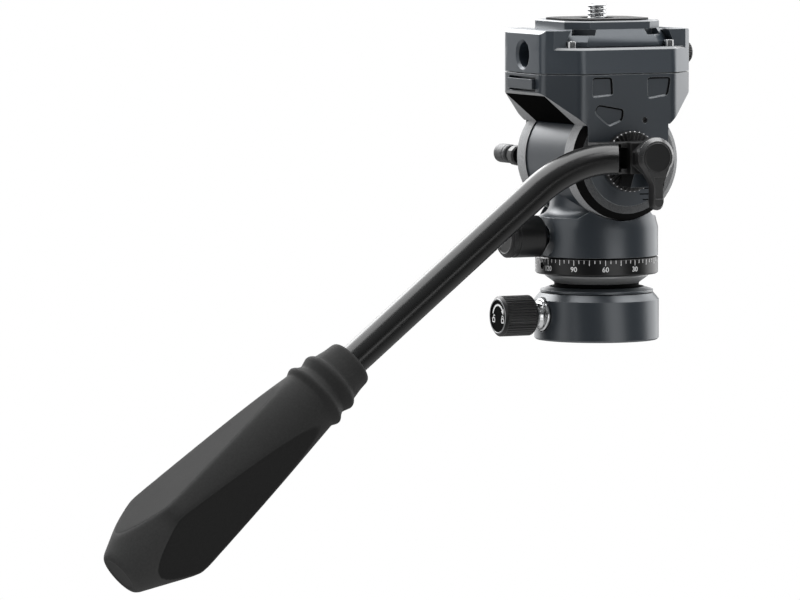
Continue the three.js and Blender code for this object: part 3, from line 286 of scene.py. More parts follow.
def addPiece(name, mesh, body, finish, replaced=()):
    piece = bpy.data.objects.new(name, mesh)
    scene.collection.objects.link(piece)
    names = [finish] if isinstance(finish, str) else finish
    mesh.materials.clear()
    for one in names:
        mesh.materials.append(finishes[one])
    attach(piece, body)
    if replaced:
        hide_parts(*replaced)
    return piece


def paintFaces(mesh, pick):   # pick gets the middles in mm and the unit normals of the faces
    middles, normals = np.empty(len(mesh.polygons) * 3), np.empty(len(mesh.polygons) * 3)
    mesh.polygons.foreach_get("center", middles)
    mesh.polygons.foreach_get("normal", normals)
    picked = pick(middles.reshape(-1, 3) / mm, normals.reshape(-1, 3))
    mesh.polygons.foreach_set("material_index", picked.astype(np.int32))


def smoothTo(mesh, angle):
    mesh.polygons.foreach_set("use_smooth", np.ones(len(mesh.polygons), bool))
    mesh.set_sharp_from_angle(angle=math.radians(angle))
    mesh.update()


def moveCorners(mesh, rule, unit=mm):   # rule takes corners in the unit and gives them in mm
    corners = np.empty(len(mesh.vertices) * 3)
    mesh.vertices.foreach_get("co", corners)
    mesh.vertices.foreach_set("co", (rule(corners.reshape(-1, 3) / unit) * mm).ravel())
    mesh.update()


def openCopy(node):   # a copy of the node's mesh, and its merged shape to work on
    mesh, work = frame["nodes"][node].data.copy(), bmesh.new()
    work.from_mesh(mesh)
    bmesh.ops.remove_doubles(work, verts=work.verts, dist=meshValues["merge"] * mm)
    return mesh, work


def cutAt(work, height, **more):
    return bmesh.ops.bisect_plane(work, geom=work.verts[:] + work.edges[:] + work.faces[:], dist=meshValues["onPlane"],
                                  plane_co=(0, 0, height * mm), plane_no=(0, 0, 1), **more)


# The node's own shape, merged, cut at the given heights so that they can bound a finish, smoothed, painted by pick and
# moved a little by rule.
def dressedCopy(node, name, finish, slot, pick=None, rule=None, cuts=()):
    mesh, work = openCopy(node)
    mesh.name = name
    bmesh.ops.dissolve_degenerate(work, edges=work.edges, dist=meshValues["shrink"] * mm)
    for height in cuts:
        cutAt(work, height)
    work.to_mesh(mesh)
    work.free()
    if "custom_normal" in mesh.attributes:
        mesh.attributes.remove(mesh.attributes["custom_normal"])
    smoothTo(mesh, meshValues["sharp"])
    piece = addPiece(name, mesh, bodyOf[node], finish, [node])
    if pick:
        paintFaces(mesh, pick)
    weigh = piece.modifiers.new("flatFaces", "WEIGHTED_NORMAL")
    weigh.keep_sharp, weigh.weight = True, meshValues["flatWeight"]
    if rule:
        moveCorners(piece.data, rule)


# Rows of points round a loop become quads from row to row; an open grid's end rows are closed by a fan.
def gridMesh(name, points, closedRows=False, angle=40):
    rows, columns = points.shape[:2]
    index = np.arange(rows * columns).reshape(rows, columns)
    after = np.roll(index, -1, axis=1)
    below, above = (index, np.roll(index, -1, axis=0)) if closedRows else (index[:-1], index[1:])
    belowNext, aboveNext = np.roll(below, -1, axis=1), np.roll(above, -1, axis=1)
    quads = np.stack([below, belowNext, aboveNext, above], axis=-1).reshape(-1, 4)
    corners = points.reshape(-1, 3)
    faces = quads.tolist()
    if not closedRows:
        corners = np.vstack([corners, points[0].mean(axis=0), points[-1].mean(axis=0)])
        first = np.stack([np.full(columns, rows * columns), after[0], index[0]], axis=-1)
        last = np.stack([np.full(columns, rows * columns + 1), index[-1], after[-1]], axis=-1)
        faces += first.tolist() + last.tolist()
    mesh = bpy.data.meshes.new(name)
    mesh.from_pydata((corners * mm).tolist(), [], faces)
    a, b, c, d = (corners[quads[:, i]] for i in range(4))
    volume = np.einsum("ij,ij->", a, np.cross(b, c)) + np.einsum("ij,ij->", a, np.cross(c, d))
    if not closedRows:
        for fan in (first, last):
            volume += np.einsum("ij,ij->", corners[fan[:, 0]], np.cross(corners[fan[:, 1]], corners[fan[:, 2]]))
    if volume < 0:
        mesh.flip_normals()
    smoothTo(mesh, angle)
    return mesh


# Each inner corner gives way to a short curve: the blend of its two cut points and the corner itself.
def roundProfile(points, radius, count=4):
    p = np.array(points, float)
    before, corner, after = p[:-2], p[1:-1], p[2:]
    inward, outward = before - corner, after - corner
    inLength = np.linalg.norm(inward, axis=1, keepdims=True)
    outLength = np.linalg.norm(outward, axis=1, keepdims=True)
    start = corner + inward * np.minimum(radius, inLength * meshValues["cornerShare"]) / inLength
    end = corner + outward * np.minimum(radius, outLength * meshValues["cornerShare"]) / outLength
    t = np.linspace(0, 1, count)[None, :, None]
    arcs = (1 - t) ** 2 * start[:, None] + 2 * t * (1 - t) * corner[:, None] + t ** 2 * end[:, None]
    return np.vstack([p[:1], arcs.reshape(-1, 2), p[-1:]])


def fullTurn(count):
    return np.linspace(0, 2 * np.pi, count, endpoint=False)


def axisFrame(axis):
    along = np.array(axis, float)
    side = np.cross(along, [0, 0, 1.0]) if abs(along[2]) < meshValues["upright"] else np.array([1.0, 0, 0])
    side = side / np.linalg.norm(side)
    return along, side, np.cross(along, side)


# Point = origin + axis * height + radius * (side * cos + cross * sin); radii and heights may be grids.
def around(origin, axis, radii, heights, angles):
    along, side, cross = axisFrame(axis)
    circle = np.cos(angles)[..., None] * side + np.sin(angles)[..., None] * cross
    return np.array(origin, float) + heights[..., None] * along + radii[..., None] * circle


def spread(profile, columns):   # radii, heights and angles of a profile's corners at each column
    return (np.repeat(profile[:, :1], columns, axis=1), np.repeat(profile[:, 1:], columns, axis=1),
            np.repeat(fullTurn(columns)[None, :], len(profile), axis=0))


# Points are added along a profile so that none lie further apart than the step.
def densify(profile, step):
    gaps = np.linalg.norm(np.diff(profile, axis=0), axis=1)
    parts = np.maximum(1, np.ceil(gaps / step)).astype(int)
    owner = np.repeat(np.arange(len(parts)), parts)
    share = (np.arange(parts.sum()) - np.repeat(np.cumsum(parts) - parts, parts)) / np.repeat(parts, parts)
    inner = profile[owner] + (profile[owner + 1] - profile[owner]) * share[:, None]
    return np.vstack([inner, profile[-1:]])


# A flat stroke: four corners of a box section carried along a path of (x, y) points.
def ribbon(points, width, thickness, closed=False):
    p = np.array(points, float)
    ahead = np.roll(p, -1, axis=0) - np.roll(p, 1, axis=0) if closed else np.gradient(p, axis=0)
    ahead /= np.linalg.norm(ahead, axis=1, keepdims=True)
    sideways = np.stack([-ahead[:, 1], ahead[:, 0]], axis=1) * width / 2
    left, right = p + sideways, p - sideways
    flat = np.stack([left, right, right, left], axis=1)
    depth = np.broadcast_to(np.array([0, 0, thickness, thickness])[None, :, None], (len(p), 4, 1))
    return np.concatenate([flat, depth], axis=2)


def joinMeshes(name, meshes):
    work = bmesh.new()
    for mesh in meshes:
        work.from_mesh(mesh)
        bpy.data.meshes.remove(mesh)
    joined = bpy.data.meshes.new(name)
    work.to_mesh(joined)
    work.free()
    joined.update()
    return joined


# Strokes of (right, up, rise) corners, placed by a rule, become one piece.
def printMarks(name, strokes, place, body, finish):
    meshes = [gridMesh("stroke", place(*np.moveaxis(stroke, -1, 0)), angle=20) for stroke in strokes]
    addPiece(name, joinMeshes(name, meshes), body, finish)


# Anodised castings and turned parts that keep the shape they have in the frame

tiltHeight = 58.0
cradleValues = {"litSideFrom": 12.0, "webHalf": 13.25, "slopeFoot": 69.0, "slopeTop": 79.7, "lip": 78.8,
                "rimInner": 16.9, "rimFoot": 18.2, "rimTop": 70.0, "marginInner": 14.45, "marginFace": 21.05,
                "marginBack": 20, "facesDown": -0.25, "slopeSide": 0.3, "rimSide": 0.35, "flatSide": 0.9}
ballValues = {"coneFoot": 18.15}
chamferValues = {"least": 0.4, "most": 0.92, "clampFoot": 93, "plateFoot": 101.9}
armValues = {"low": 54.1, "high": 65.9, "newLow": 54.7, "newHigh": 64.6, "foot": 50.3, "footTop": 54.2, "facing": 0.7}
leverValues = {"middle": 60.0, "growth": 0.13, "back": 0.5, "shankTop": 52, "blend": 6, "highlightFoot": 61,
               "bevelFrom": -0.95, "bevelTo": -0.3}
railValues = {"endFace": -24.5, "slotHalf": 10, "near": 0.1, "slotFoot": 79.9, "close": 0.9}


# 0 body, 1 blasted, 2 web underside in near-black painted shade, 3 margin, 4 bevel of the disc in near-black painted
# shade, 5 margin and bevel at the +X side in lighter grey painted light
def cradleFaces(middles, normals):
    v = cradleValues
    x, y, z = middles.T
    reach, deep, side = np.hypot(x, z - tiltHeight), np.abs(y), np.abs(normals[:, 1])
    low = z < v["slopeFoot"]
    slope = (normals[:, 2] < v["facesDown"]) & (side < v["slopeSide"]) & (z > v["slopeFoot"]) & (z < v["slopeTop"])
    rim = (side < v["rimSide"]) & (reach > v["rimFoot"]) & (z < v["rimTop"])
    margin = (side > v["flatSide"]) & (reach > v["marginInner"]) & (reach < v["rimInner"]) \
        & (deep < v["marginFace"]) & (deep > v["marginBack"]) & low
    bevel = (side > v["rimSide"]) & (side < v["flatSide"]) & (reach > v["rimInner"]) & low
    # The margin and bevel on the +X side get a lighter grey: painted light on the side the light falls on.
    litSide = (margin | bevel) & (x > v["litSideFrom"])
    picked = np.where(slope | rim, 1, np.where(litSide, 5, np.where(margin, 3, np.where(bevel, 4, 0))))
    # The sloped underside between the cheeks, below the lip, is near-black: painted shade.
    return np.where(slope & (deep < v["webHalf"]) & (z < v["lip"]), 2, picked)


def ballFaces(middles, normals):   # 0 black neck and ball, 1 the cone under the scale
    return np.where(middles[:, 2] > ballValues["coneFoot"], 1, 0)


def chamferFaces(low):   # 0 body, 1 chamfers that face half upwards, above a height
    def pick(middles, normals):
        up = normals[:, 2]
        return np.where((up > chamferValues["least"]) & (up < chamferValues["most"]) & (middles[:, 2] > low), 1, 0)
    return pick


# The foot's front and back faces get the lighter body finish instead of the black lever finish: painted light where the
# foot lies in shade.
def armFaces(middles, normals):   # 0 fork and boss, 1 the foot over the rosette
    return np.where((middles[:, 2] < armValues["footTop"]) & (np.abs(normals[:, 1]) > armValues["facing"]), 1, 0)


# Only the bevel's upper part, above the height limit, gets the bright metal finish: a painted highlight, the rest of
# the bevel stays black.
def leverFaces(middles, normals):   # 0 lever, 1 bevel round its face
    v, side = leverValues, normals[:, 1]
    return np.where((side < v["bevelTo"]) & (side > v["bevelFrom"]) & (middles[:, 2] > v["highlightFoot"]), 1, 0)


def armRule(corners):   # the fork between low and high is pressed towards the tube, the foot below it follows
    v, z = armValues, corners[:, 2]
    fork = v["newLow"] + (z - v["low"]) * (v["newHigh"] - v["newLow"]) / (v["high"] - v["low"])
    under = v["foot"] + (z - v["foot"]) * (v["newLow"] - v["foot"]) / (v["low"] - v["foot"])
    corners[:, 2] = np.where(z > v["low"], fork, under)
    return corners


def leverRule(corners):   # the hub grows about its middle and moves back a little, the shank keeps its shape
    v = leverValues
    share = np.clip((corners[:, 2] - v["shankTop"]) / v["blend"], 0, 1)
    corners[:, 0] = corners[:, 0] * (1 + v["growth"] * share) - v["back"] * share
    corners[:, 2] += np.clip(corners[:, 2] - v["middle"], 0, None) * v["growth"]
    return corners


def railRule(corners):   # the slot in the end face closes up on the rail
    v = railValues
    inSlot = (corners[:, 0] < v["endFace"]) & (np.abs(np.abs(corners[:, 1]) - v["slotHalf"]) < v["near"]) \
        & (corners[:, 2] > v["slotFoot"])
    corners[:, 1] *= np.where(inSlot, v["close"], 1.0)
    return corners


castings = [   # node, piece, finish, slot, rule for the faces' finish, rule for corners, heights of cuts
    ("base_cup", "baseCup", "bodyAnodised", "body"),
    ("base_retainer", "baseRetainer", "bodyAnodised", "body"),
    ("level_ball", "levelBall", ["matteFace", "coneGrey"], "black_metal", ballFaces),
    ("scale_ring", "scaleRing", "blackAnodised", "black_metal"),
    ("turret", "turretHousing", "bodyAnodised", "body"),
    ("cradle", "tiltCradle", ["bodyAnodised", "blastedGrey", "blackWeb", "marginGrey", "matteFace", "bareGrey"], "body",
     cradleFaces, railRule, [cradleValues["lip"]]),
    ("end_rail", "endRail", "bodyAnodised", "body"),
    ("clamp_body", "plateClamp", ["clampAnodised", "edgeBright"], "body", chamferFaces(chamferValues["clampFoot"])),
    ("jaw", "clampJaw", "bodyAnodised", "body"),
    ("plate", "quickPlate", ["clampAnodised", "edgeBright"], "body", chamferFaces(chamferValues["plateFoot"])),
    ("plate_pad", "platePad", "plateRubber", "rubber"),
    ("handle_arm", "handleArm", ["blackLever", "bodyAnodised"], "black_metal", armFaces, armRule),
    ("clamp_lever", "clampLever", ["blackLever", "leverRim"], "black_metal", leverFaces, leverRule),
    ("clamp_screw", "clampStud", "brightSteel", "steel"),
    ("lock_lever", "lockLever", "blackLever", "black_metal"),
    ("tripod_bush", "tripodBush", "turnedBrass", "brass"),
    ("level_screw", "levelStud", "brightSteel", "steel"),
    ("pan_screw", "panStud", "brightSteel", "steel"),
    ("lock_screw", "lockStud", "brightSteel", "steel"),
    ("jaw_screw", "jawStud", "brightSteel", "steel"),
]
for casting in castings:
    dressedCopy(*casting)
print("castings dressed")

innerFinishes = {"slideNylon": ["pan_disc", "drag_cartridge", "ball_liner"], "turnedBrass": ["level_pad", "pan_pad"],
                 "brightSteel": ["bearing_near", "bearing_far", "pan_nut", "pan_spindle", "tilt_shaft"]}
for innerFinish, innerNodes in innerFinishes.items():
    for innerNode in innerNodes:
        for place in frame["nodes"][innerNode].material_slots:
            place.material = finishes[innerFinish]
print("inner parts finished")


# Turned pieces: (radius, height) corners rounded, rows added, carried round the axis; a hollow one is a ring, and
# shape(radii, heights, angles) may change the radii

def makeTurned(name, v, profile=None, columns=None, shape=None):
    rows = densify(roundProfile(profile or v["profile"], v["round"]), v["step"])
    radii, heights, angles = spread(rows, columns or v["columns"])
    if shape:
        radii = shape(radii, heights, angles)
    points = around(v["origin"], v["axis"], radii, heights, angles)
    mesh = gridMesh(name, points, closedRows=v.get("hollow", False))
    addPiece(name, mesh, v["body"], v["finish"], v["replaced"])
    return mesh


# Levelling knob: a fluted barrel, a bright ring and a sunk face with its signs

levelKnobValues = {"origin": (-23.8, 0, 8.3), "axis": (-1, 0, 0), "radius": 6.5, "length": 12.0, "flutes": 40,
                   "depth": 0.32, "chamfer": 0.85, "ringOuter": 5.55, "ringInner": 5.15, "sink": 0.3,
                   "arc": 3.6, "stroke": 0.62, "lock": 3.05, "lockDrop": -0.9, "raise": 0.04, "hole": 0.4,
                   "taper": 0.1, "round": 0.14, "step": 0.6, "fluteFoot": 0.6, "lap": 0.02, "ringLap": 0.25,
                   "frontLap": 0.12, "lift": 0.005, "body": "level_lock", "slot": "black_metal",
                   "finish": ["blackAnodised", "ringSteel", "matteFace"], "replaced": ["level_knob"]}
fluteValues = {"ramp": 0.5, "barrelShare": 0.8, "power": 1.5, "columns": 8}


def knobFlutes(count, depth, low, high):
    f = fluteValues

    def shape(radii, heights, angles):   # radius less depth * (half a cosine wave per flute) between two heights
        wave = 0.5 - 0.5 * np.cos(count * angles)
        ends = np.clip((heights - low) / f["ramp"], 0, 1) * np.clip((high - heights) / f["ramp"], 0, 1)
        return radii - depth * wave ** f["power"] * ends * (radii > f["barrelShare"] * radii.max())

    return shape


def makeLevelKnob(v):
    r, l, c = v["radius"], v["length"], v["chamfer"]
    profile = [(v["hole"], 0), (r - c, 0), (r, c), (r, l - c), (v["ringOuter"], l), (v["ringInner"], l),
               (v["ringInner"] - v["taper"], l - v["sink"]), (v["hole"], l - v["sink"])]
    mesh = makeTurned("levelKnob", v, profile, v["flutes"] * fluteValues["columns"],
                      knobFlutes(v["flutes"], v["depth"], c * v["fluteFoot"], l - c))
    end = v["origin"][0] - l

    def knobFaces(middles, normals):   # 0 barrel, 1 ring round the face, 2 sunk face
        reach = np.hypot(middles[:, 1], middles[:, 2] - v["origin"][2])
        front = middles[:, 0] < end + v["sink"] + v["frontLap"]
        ring = front & (reach > v["ringInner"] - v["lap"]) & (reach < v["ringOuter"] + v["ringLap"])
        return np.where(ring, 1, np.where(front & (reach < v["ringInner"]), 2, 0))

    paintFaces(mesh, knobFaces)


signValues = {"padHalf": 0.75, "padFoot": -1.0, "padTop": 0.25, "bow": 0.48, "bowHeight": 0.72, "shift": 0.35,
              "closedArc": (1.0, 0.0), "openArc": (1.05, 0.12), "bowPoints": 13, "padStroke": 0.36, "bowStroke": 0.3,
              "arcFrom": 168, "arcTo": 34, "arcPoints": 34, "tipAt": 10, "headAt": 36, "headWide": 1.9,
              "headNarrow": 0.12, "pathPoints": 5}


def lockSign(s, isOpen):   # strokes of a padlock about (0, 0): a square frame and its bow
    t = np.linspace(0, 1, s["pathPoints"])[:-1]
    half, foot, top = s["padHalf"], s["padFoot"], s["padTop"]
    corners = np.array([(-half, foot), (half, foot), (half, top), (-half, top)])
    body = corners[:, None] + (np.roll(corners, -1, axis=0) - corners)[:, None] * t[None, :, None]
    first, last = s["openArc"] if isOpen else s["closedArc"]
    angles = np.linspace(np.pi * first, np.pi * last, s["bowPoints"])
    shift = s["shift"] if isOpen else 0.0
    bow = np.stack([s["bow"] * np.cos(angles) + shift, s["bow"] * np.sin(angles) + s["bowHeight"]], axis=1)
    ends = [] if isOpen else [[(bow[-1, 0], top)]]
    return body.reshape(-1, 2), np.vstack([[(bow[0, 0], top)], bow] + ends)


def signStrokes(v, s):   # a curved arrow over an open and a closed padlock
    def onArc(angle):
        return v["arc"] * np.stack([np.cos(np.radians(angle)), np.sin(np.radians(angle))], axis=-1)

    strokes = [ribbon(onArc(np.linspace(s["arcFrom"], s["arcTo"], s["arcPoints"])), v["stroke"], v["raise"])]
    tip, base = onArc(s["tipAt"]), onArc(s["headAt"])
    head = ribbon(base + (tip - base) * np.linspace(0, 1, s["pathPoints"])[:, None], 1.0, v["raise"])
    centre = head[:, :, :2].mean(axis=1, keepdims=True)
    widths = np.linspace(s["headWide"], s["headNarrow"], s["pathPoints"])
    head[:, :, :2] = centre + (head[:, :, :2] - centre) * widths[:, None, None]
    strokes.append(head)
    for place, isOpen in ((-v["lock"], True), (v["lock"], False)):
        body, bow = lockSign(s, isOpen)
        offset = np.array([place, v["lockDrop"]])
        square = ribbon(body + offset, s["padStroke"], v["raise"], closed=True)
        strokes += [np.vstack([square, square[:1]]), ribbon(bow + offset, s["bowStroke"], v["raise"])]
    return strokes


def makeKnobSigns(v):   # right is -Y on the sunk face, up is +Z, and the signs rise towards -X
    face = v["origin"][0] - v["length"] + v["sink"] + v["lift"]
    printMarks("levelKnobSigns", signStrokes(v, signValues), lambda right, up, rise: np.stack(
        [face - rise, -right, v["origin"][2] + up], axis=-1), "level_lock", "whiteMark")


makeLevelKnob(levelKnobValues)
makeKnobSigns(levelKnobValues)


# Pan knob with its groove and knurled band, and the jaw's small knob

panKnobValues = {"origin": (-20.7, 0, 33.5), "axis": (-1, 0, 0), "radius": 6.65, "length": 12.9, "edge": 0.9,
                 "ring": 1.2, "ringDepth": 0.35, "knurl": 44, "knurlDepth": 0.22, "hole": 0.4, "lip": 1.5, "dish": 1.6,
                 "sink": 0.25, "round": 0.14, "step": 0.18, "columns": 6, "lap": 0.1, "body": "pan_lock",
                 "slot": "black_metal", "finish": "blackAnodised", "replaced": ["pan_knob"]}
jawKnobValues = {"origin": (27.2, 0, 91.3), "axis": (1, 0, 0), "radius": 3.5, "length": 6.2, "edge": 0.6,
                 "flutes": 26, "depth": 0.26, "hole": 0.3, "dimple": 1.3, "dimpleFoot": 1.2, "sink": 0.5,
                 "round": 0.12, "step": 0.4, "fluteFoot": 0.6, "body": "jaw_drive", "slot": "black_metal",
                 "finish": "blackAnodised", "replaced": ["jaw_knob"]}


def makePanKnob(v):
    r, l, e, w, d = v["radius"], v["length"], v["edge"], v["ring"], v["ringDepth"]
    profile = [(v["hole"], 0), (r - e, 0), (r, e), (r, l - e - 2 * w), (r - d, l - e - 2 * w), (r - d, l - e - w),
               (r, l - e - w), (r, l - e), (r - e, l), (r - v["lip"], l), (r - v["dish"], l - v["sink"]),
               (v["hole"], l - v["sink"])]

    def knurl(radii, heights, angles):   # radius less depth * product of two crossing waves on the end band
        swing = (heights - l) * v["knurl"] / r
        crossed = 0.5 - 0.5 * np.cos(v["knurl"] * angles + swing) * np.cos(v["knurl"] * angles - swing)
        window = (heights > l - e - w + v["lap"]) & (heights < l - v["lap"]) & (radii > r - e)
        return radii - v["knurlDepth"] * crossed * window

    makeTurned("panKnob", v, profile, v["knurl"] * v["columns"], knurl)


def makeJawKnob(v):
    r, l, e = v["radius"], v["length"], v["edge"]
    profile = [(v["hole"], 0), (r - e, 0), (r, e), (r, l - e), (r - e, l), (v["dimple"], l),
               (v["dimpleFoot"], l - v["sink"]), (v["hole"], l - v["sink"])]
    makeTurned("jawKnob", v, profile, v["flutes"] * fluteValues["columns"],
               knobFlutes(v["flutes"], v["depth"], e * v["fluteFoot"], l - e * v["fluteFoot"]))


makePanKnob(panKnobValues)
makeJawKnob(jawKnobValues)
print("knobs turned")


# Lock grip of the tilt lever

lockGripValues = {
    "origin": (-16.3, 0, 58.3), "axis": (0, 1, 0), "body": "tilt_lock", "slot": "steel", "finish": "gripSilver",
    "replaced": ["lock_grip"], "round": 0.25, "step": 0.8, "columns": 64, "profile": [
        (0.3, 23.2), (2.1, 23.2), (2.1, 27.3), (2.6, 27.3), (3.05, 27.8), (3.05, 28.9), (2.85, 29.1), (2.85, 29.3),
        (3.05, 29.5), (3.05, 34.6), (2.5, 35.25), (1.2, 35.3), (0.3, 35.3)]}
makeTurned("lockGrip", lockGripValues)


# Toothed ring between the cradle's cheek and the handle

rosetteValues = {"origin": (0, -21.7, 58), "axis": (0, -1, 0), "outer": 9.7, "inner": 5.6, "height": 2.7,
                 "teeth": 36, "tooth": 0.75, "edge": 0.3, "tip": 0.55, "foot": 1.0, "toothedFrom": 1.5, "steep": 1.35,
                 "rest": 0.12, "rimDrop": 0.25, "columns": 8}


# Height on the toothed side: top less tooth * distance from the nearest crest * radius / outer radius.
def makeRosette(v):
    edge = v["edge"]
    loop = np.array([(v["inner"], 0), (v["outer"] - edge, 0), (v["outer"], edge), (v["outer"], v["foot"]),
                     (v["outer"], v["height"] - edge), (v["outer"] - edge, v["height"]),
                     (0.5 * (v["outer"] + v["inner"]), v["height"]), (v["inner"], v["height"])])
    radii, heights, angles = spread(loop, v["teeth"] * v["columns"])
    phase = (angles * v["teeth"] / (2 * np.pi)) % 1.0
    drop = v["tooth"] * np.clip(v["steep"] * np.abs(2 * phase - 1) - v["rest"], 0, 1) * radii / v["outer"]
    toothed = heights > v["toothedFrom"]
    radii = np.where(toothed & (radii > v["outer"] - 0.5 * edge), radii - v["rimDrop"] * drop, radii)
    heights = np.where(toothed, heights - drop, heights)
    points = around(v["origin"], v["axis"], radii, heights, angles)
    mesh = gridMesh("cheekRosette", points, closedRows=True, angle=25)
    crest = -points[:, :, 1].min()

    def crestFaces(middles, normals):   # 0 black, 1 the tips of the teeth at the outer edge
        reach = np.hypot(middles[:, 0] - v["origin"][0], middles[:, 2] - v["origin"][2])
        return np.where((reach > v["outer"] - v["tip"]) & (-middles[:, 1] > crest - 0.5 * v["tooth"]), 1, 0)

    addPiece("cheekRosette", mesh, "tilt_stage", ["blackLever", "tipBright"], ["cheek_rosette"])
    paintFaces(mesh, crestFaces)


makeRosette(rosetteValues)


# Turned details: the collar behind the levelling knob and the low cap on the clamp lever's hub

turnedValues = {
    "levelCollar": {
        "origin": (0, 0, 8.3), "axis": (-1, 0, 0), "body": "level_lock", "slot": "steel", "finish": "brightSteel",
        "replaced": ["level_collar"], "round": 0.2, "step": 0.5, "columns": 120, "hollow": True, "profile": [
            (2.25, 18.9), (3.3, 18.9), (3.3, 19.4), (5.25, 19.4), (5.25, 20.3), (4.9, 20.65), (4.3, 20.75),
            (3.9, 21.2), (3.7, 22.4), (4.2, 22.9), (4.3, 23.45), (2.25, 23.45)]},
    "leverCap": {
        "origin": (-0.6, 0, 60.1), "axis": (0, -1, 0), "body": "handle_clamp", "slot": "black_metal",
        "finish": "blackAnodised", "replaced": [], "round": 0.12, "step": 0.5, "columns": 120,
        "profile": [(0.3, 41.5), (4.75, 41.5), (4.75, 41.75), (4.5, 41.95), (0.3, 41.95)]},
}


for turnedName, turnedRow in turnedValues.items():
    makeTurned(turnedName, turnedRow)


# Chamfered edges of the pockets in both cheeks; the chamfers that face down or back are near-black, a painted shade

pocketValues = {"halfLength": 26.9, "height": 27.6, "face": -21.4, "depth": 0.5, "width": 0.5, "corner": 1.2,
                "cornerPoints": 6, "overlap": -0.04, "proud": 0.03, "under": 0.1, "above": 0.01, "facesDown": -0.2,
                "facesBack": -0.3, "loops": [
    [(-0.48, 0.97), (-0.22, 0.97), (-0.205, 0.76), (-0.49, 0.74)],
    [(0.25, 0.96), (0.57, 0.96), (0.53, 0.75), (0.26, 0.71)],
    [(-0.41, 0.66), (-0.06, 0.6), (-0.075, 0.47), (-0.26, 0.4), (-0.46, 0.56)]]}


# A ring with a three-sided section per pocket: the wall's top, its foot, and a line on the floor inside it.
def makePocketEdges(v):
    meshes = []
    for corners in v["loops"]:
        loop = np.array([(x * v["halfLength"], tiltHeight + z * v["height"]) for x, z in corners])
        loop = roundProfile(np.vstack([loop[-1:], loop, loop[:1]]), v["corner"], v["cornerPoints"])[1:-1]
        ahead = np.roll(loop, -1, axis=0) - np.roll(loop, 1, axis=0)
        ahead /= np.linalg.norm(ahead, axis=1, keepdims=True)
        inward = np.stack([ahead[:, 1], -ahead[:, 0]], axis=1)
        if np.einsum("ij,ij->", inward, loop.mean(axis=0) - loop) < 0:
            inward = -inward
        floor = v["face"] + v["depth"]
        rows = [(v["overlap"], v["face"] + v["proud"]), (v["overlap"], floor + v["under"]),
                (v["width"], floor - v["above"])]
        points = np.stack([np.insert(loop + inward * offset, 1, depth, axis=1) for offset, depth in rows])
        for side in (1, -1):
            meshes.append(gridMesh("edge", points * np.array([side, side, 1]), closedRows=True, angle=35))
    mesh = joinMeshes("pocketEdges", meshes)
    addPiece("pocketEdges", mesh, "tilt_stage", ["bodyAnodised", "matteFace"])
    # Faces turned down or back get the near-black finish: painted shade along the pockets' upper and far edges.
    paintFaces(mesh, lambda m, n: (n[:, 2] < v["facesDown"]) | (n[:, 0] * -np.sign(m[:, 1]) < v["facesBack"]))


makePocketEdges(pocketValues)


# Bent handle tube

tubeValues = {"plane": -32.5, "height": 60.0, "end": -8.9, "straight": 1.1, "bend": 46.0, "degrees": 38.3,
              "lower": 140.0, "radius": 5.0, "mitre": 26.6, "blend": 9.0, "cut": 0.9, "dip": 0.7, "dipLength": 16.0,
              "bendRows": 44, "lowerRows": 12, "columns": 72}


def bendEnd(v):   # distance along the tube at which its arc ends
    return v["straight"] + v["bend"] * math.radians(v["degrees"])


def handleCircle(angles, up):   # directions round the tube: up at angle 0, -Y at a quarter turn
    return np.cos(angles)[..., None] * up + np.sin(angles)[..., None] * np.array([0, -1.0, 0])


# Distance s along: level, then an arc down, then straight; gives points and the up normals.
def handlePath(v, s):
    turn = math.radians(v["degrees"])
    arcLength = v["bend"] * turn
    angle = np.clip((s - v["straight"]) / v["bend"], 0, turn)
    level = np.minimum(s, v["straight"])
    past = np.maximum(0, s - v["straight"] - arcLength)
    x = v["end"] - level - v["bend"] * np.sin(angle) - past * math.cos(turn)
    z = v["height"] - v["bend"] * (1 - np.cos(angle)) - past * math.sin(turn)
    z = z - v["dip"] * np.clip(1 - s / v["dipLength"], 0, 1) ** 2
    points = np.stack([x, np.full_like(x, v["plane"]), z], axis=-1)
    normals = np.stack([-np.sin(angle), np.zeros_like(x), np.cos(angle)], axis=-1)
    return points, normals


def makeTube(v):
    s = np.concatenate([np.linspace(v["cut"], bendEnd(v), v["bendRows"]),
                        np.linspace(bendEnd(v), bendEnd(v) + v["lower"], v["lowerRows"])[1:]])
    points, normals = handlePath(v, s)
    offset = v["radius"] * handleCircle(fullTurn(v["columns"]), normals[:, None])
    grid = points[:, None] + offset
    shear = math.tan(math.radians(v["mitre"])) * np.clip(1 - s / v["blend"], 0, 1)
    grid[..., 0] += shear[:, None] * offset[..., 1]
    addPiece("handleTube", gridMesh("handleTube", grid, angle=50), "handle", "satinTube", ["handle_tube"])


makeTube(tubeValues)


# Rubber grip: a round body cut by three flats

gripValues = {"start": 83.0, "flat": 10.75, "softness": 46, "columns": 180, "neck": 19.0,
              "sharp": 12.0, "lap": 0.13, "fade": 0.2, "widest": 80.0, "bodyTone": (0.036, 0.036, 0.0357, 1),
              "endTone": (0.054, 0.054, 0.0535, 1), "flatTone": (0.020, 0.020, 0.0198, 1), "flats": (0, 120, 240),
              "round": 0.9, "roundPoints": 6, "step": 1.4, "cutOver": 0.8, "least": 1e-3, "profile": [
    (0.4, 0), (7.2, 0), (7.9, 0.8), (8.2, 4.0), (9.0, 8.2), (10.0, 8.9), (10.45, 10.1), (10.0, 11.4), (9.5, 12.9),
    (9.5, 13.6), (10.2, 14.9), (11.2, 16.0), (11.2, 16.9), (10.4, 18.3), (10.3, 19.0), (17.25, 77.6), (17.2, 80.4),
    (16.0, 83.4), (8.0, 100.3), (7.0, 101.4), (5.6, 101.4), (5.4, 101.1), (0.4, 101.1)]}


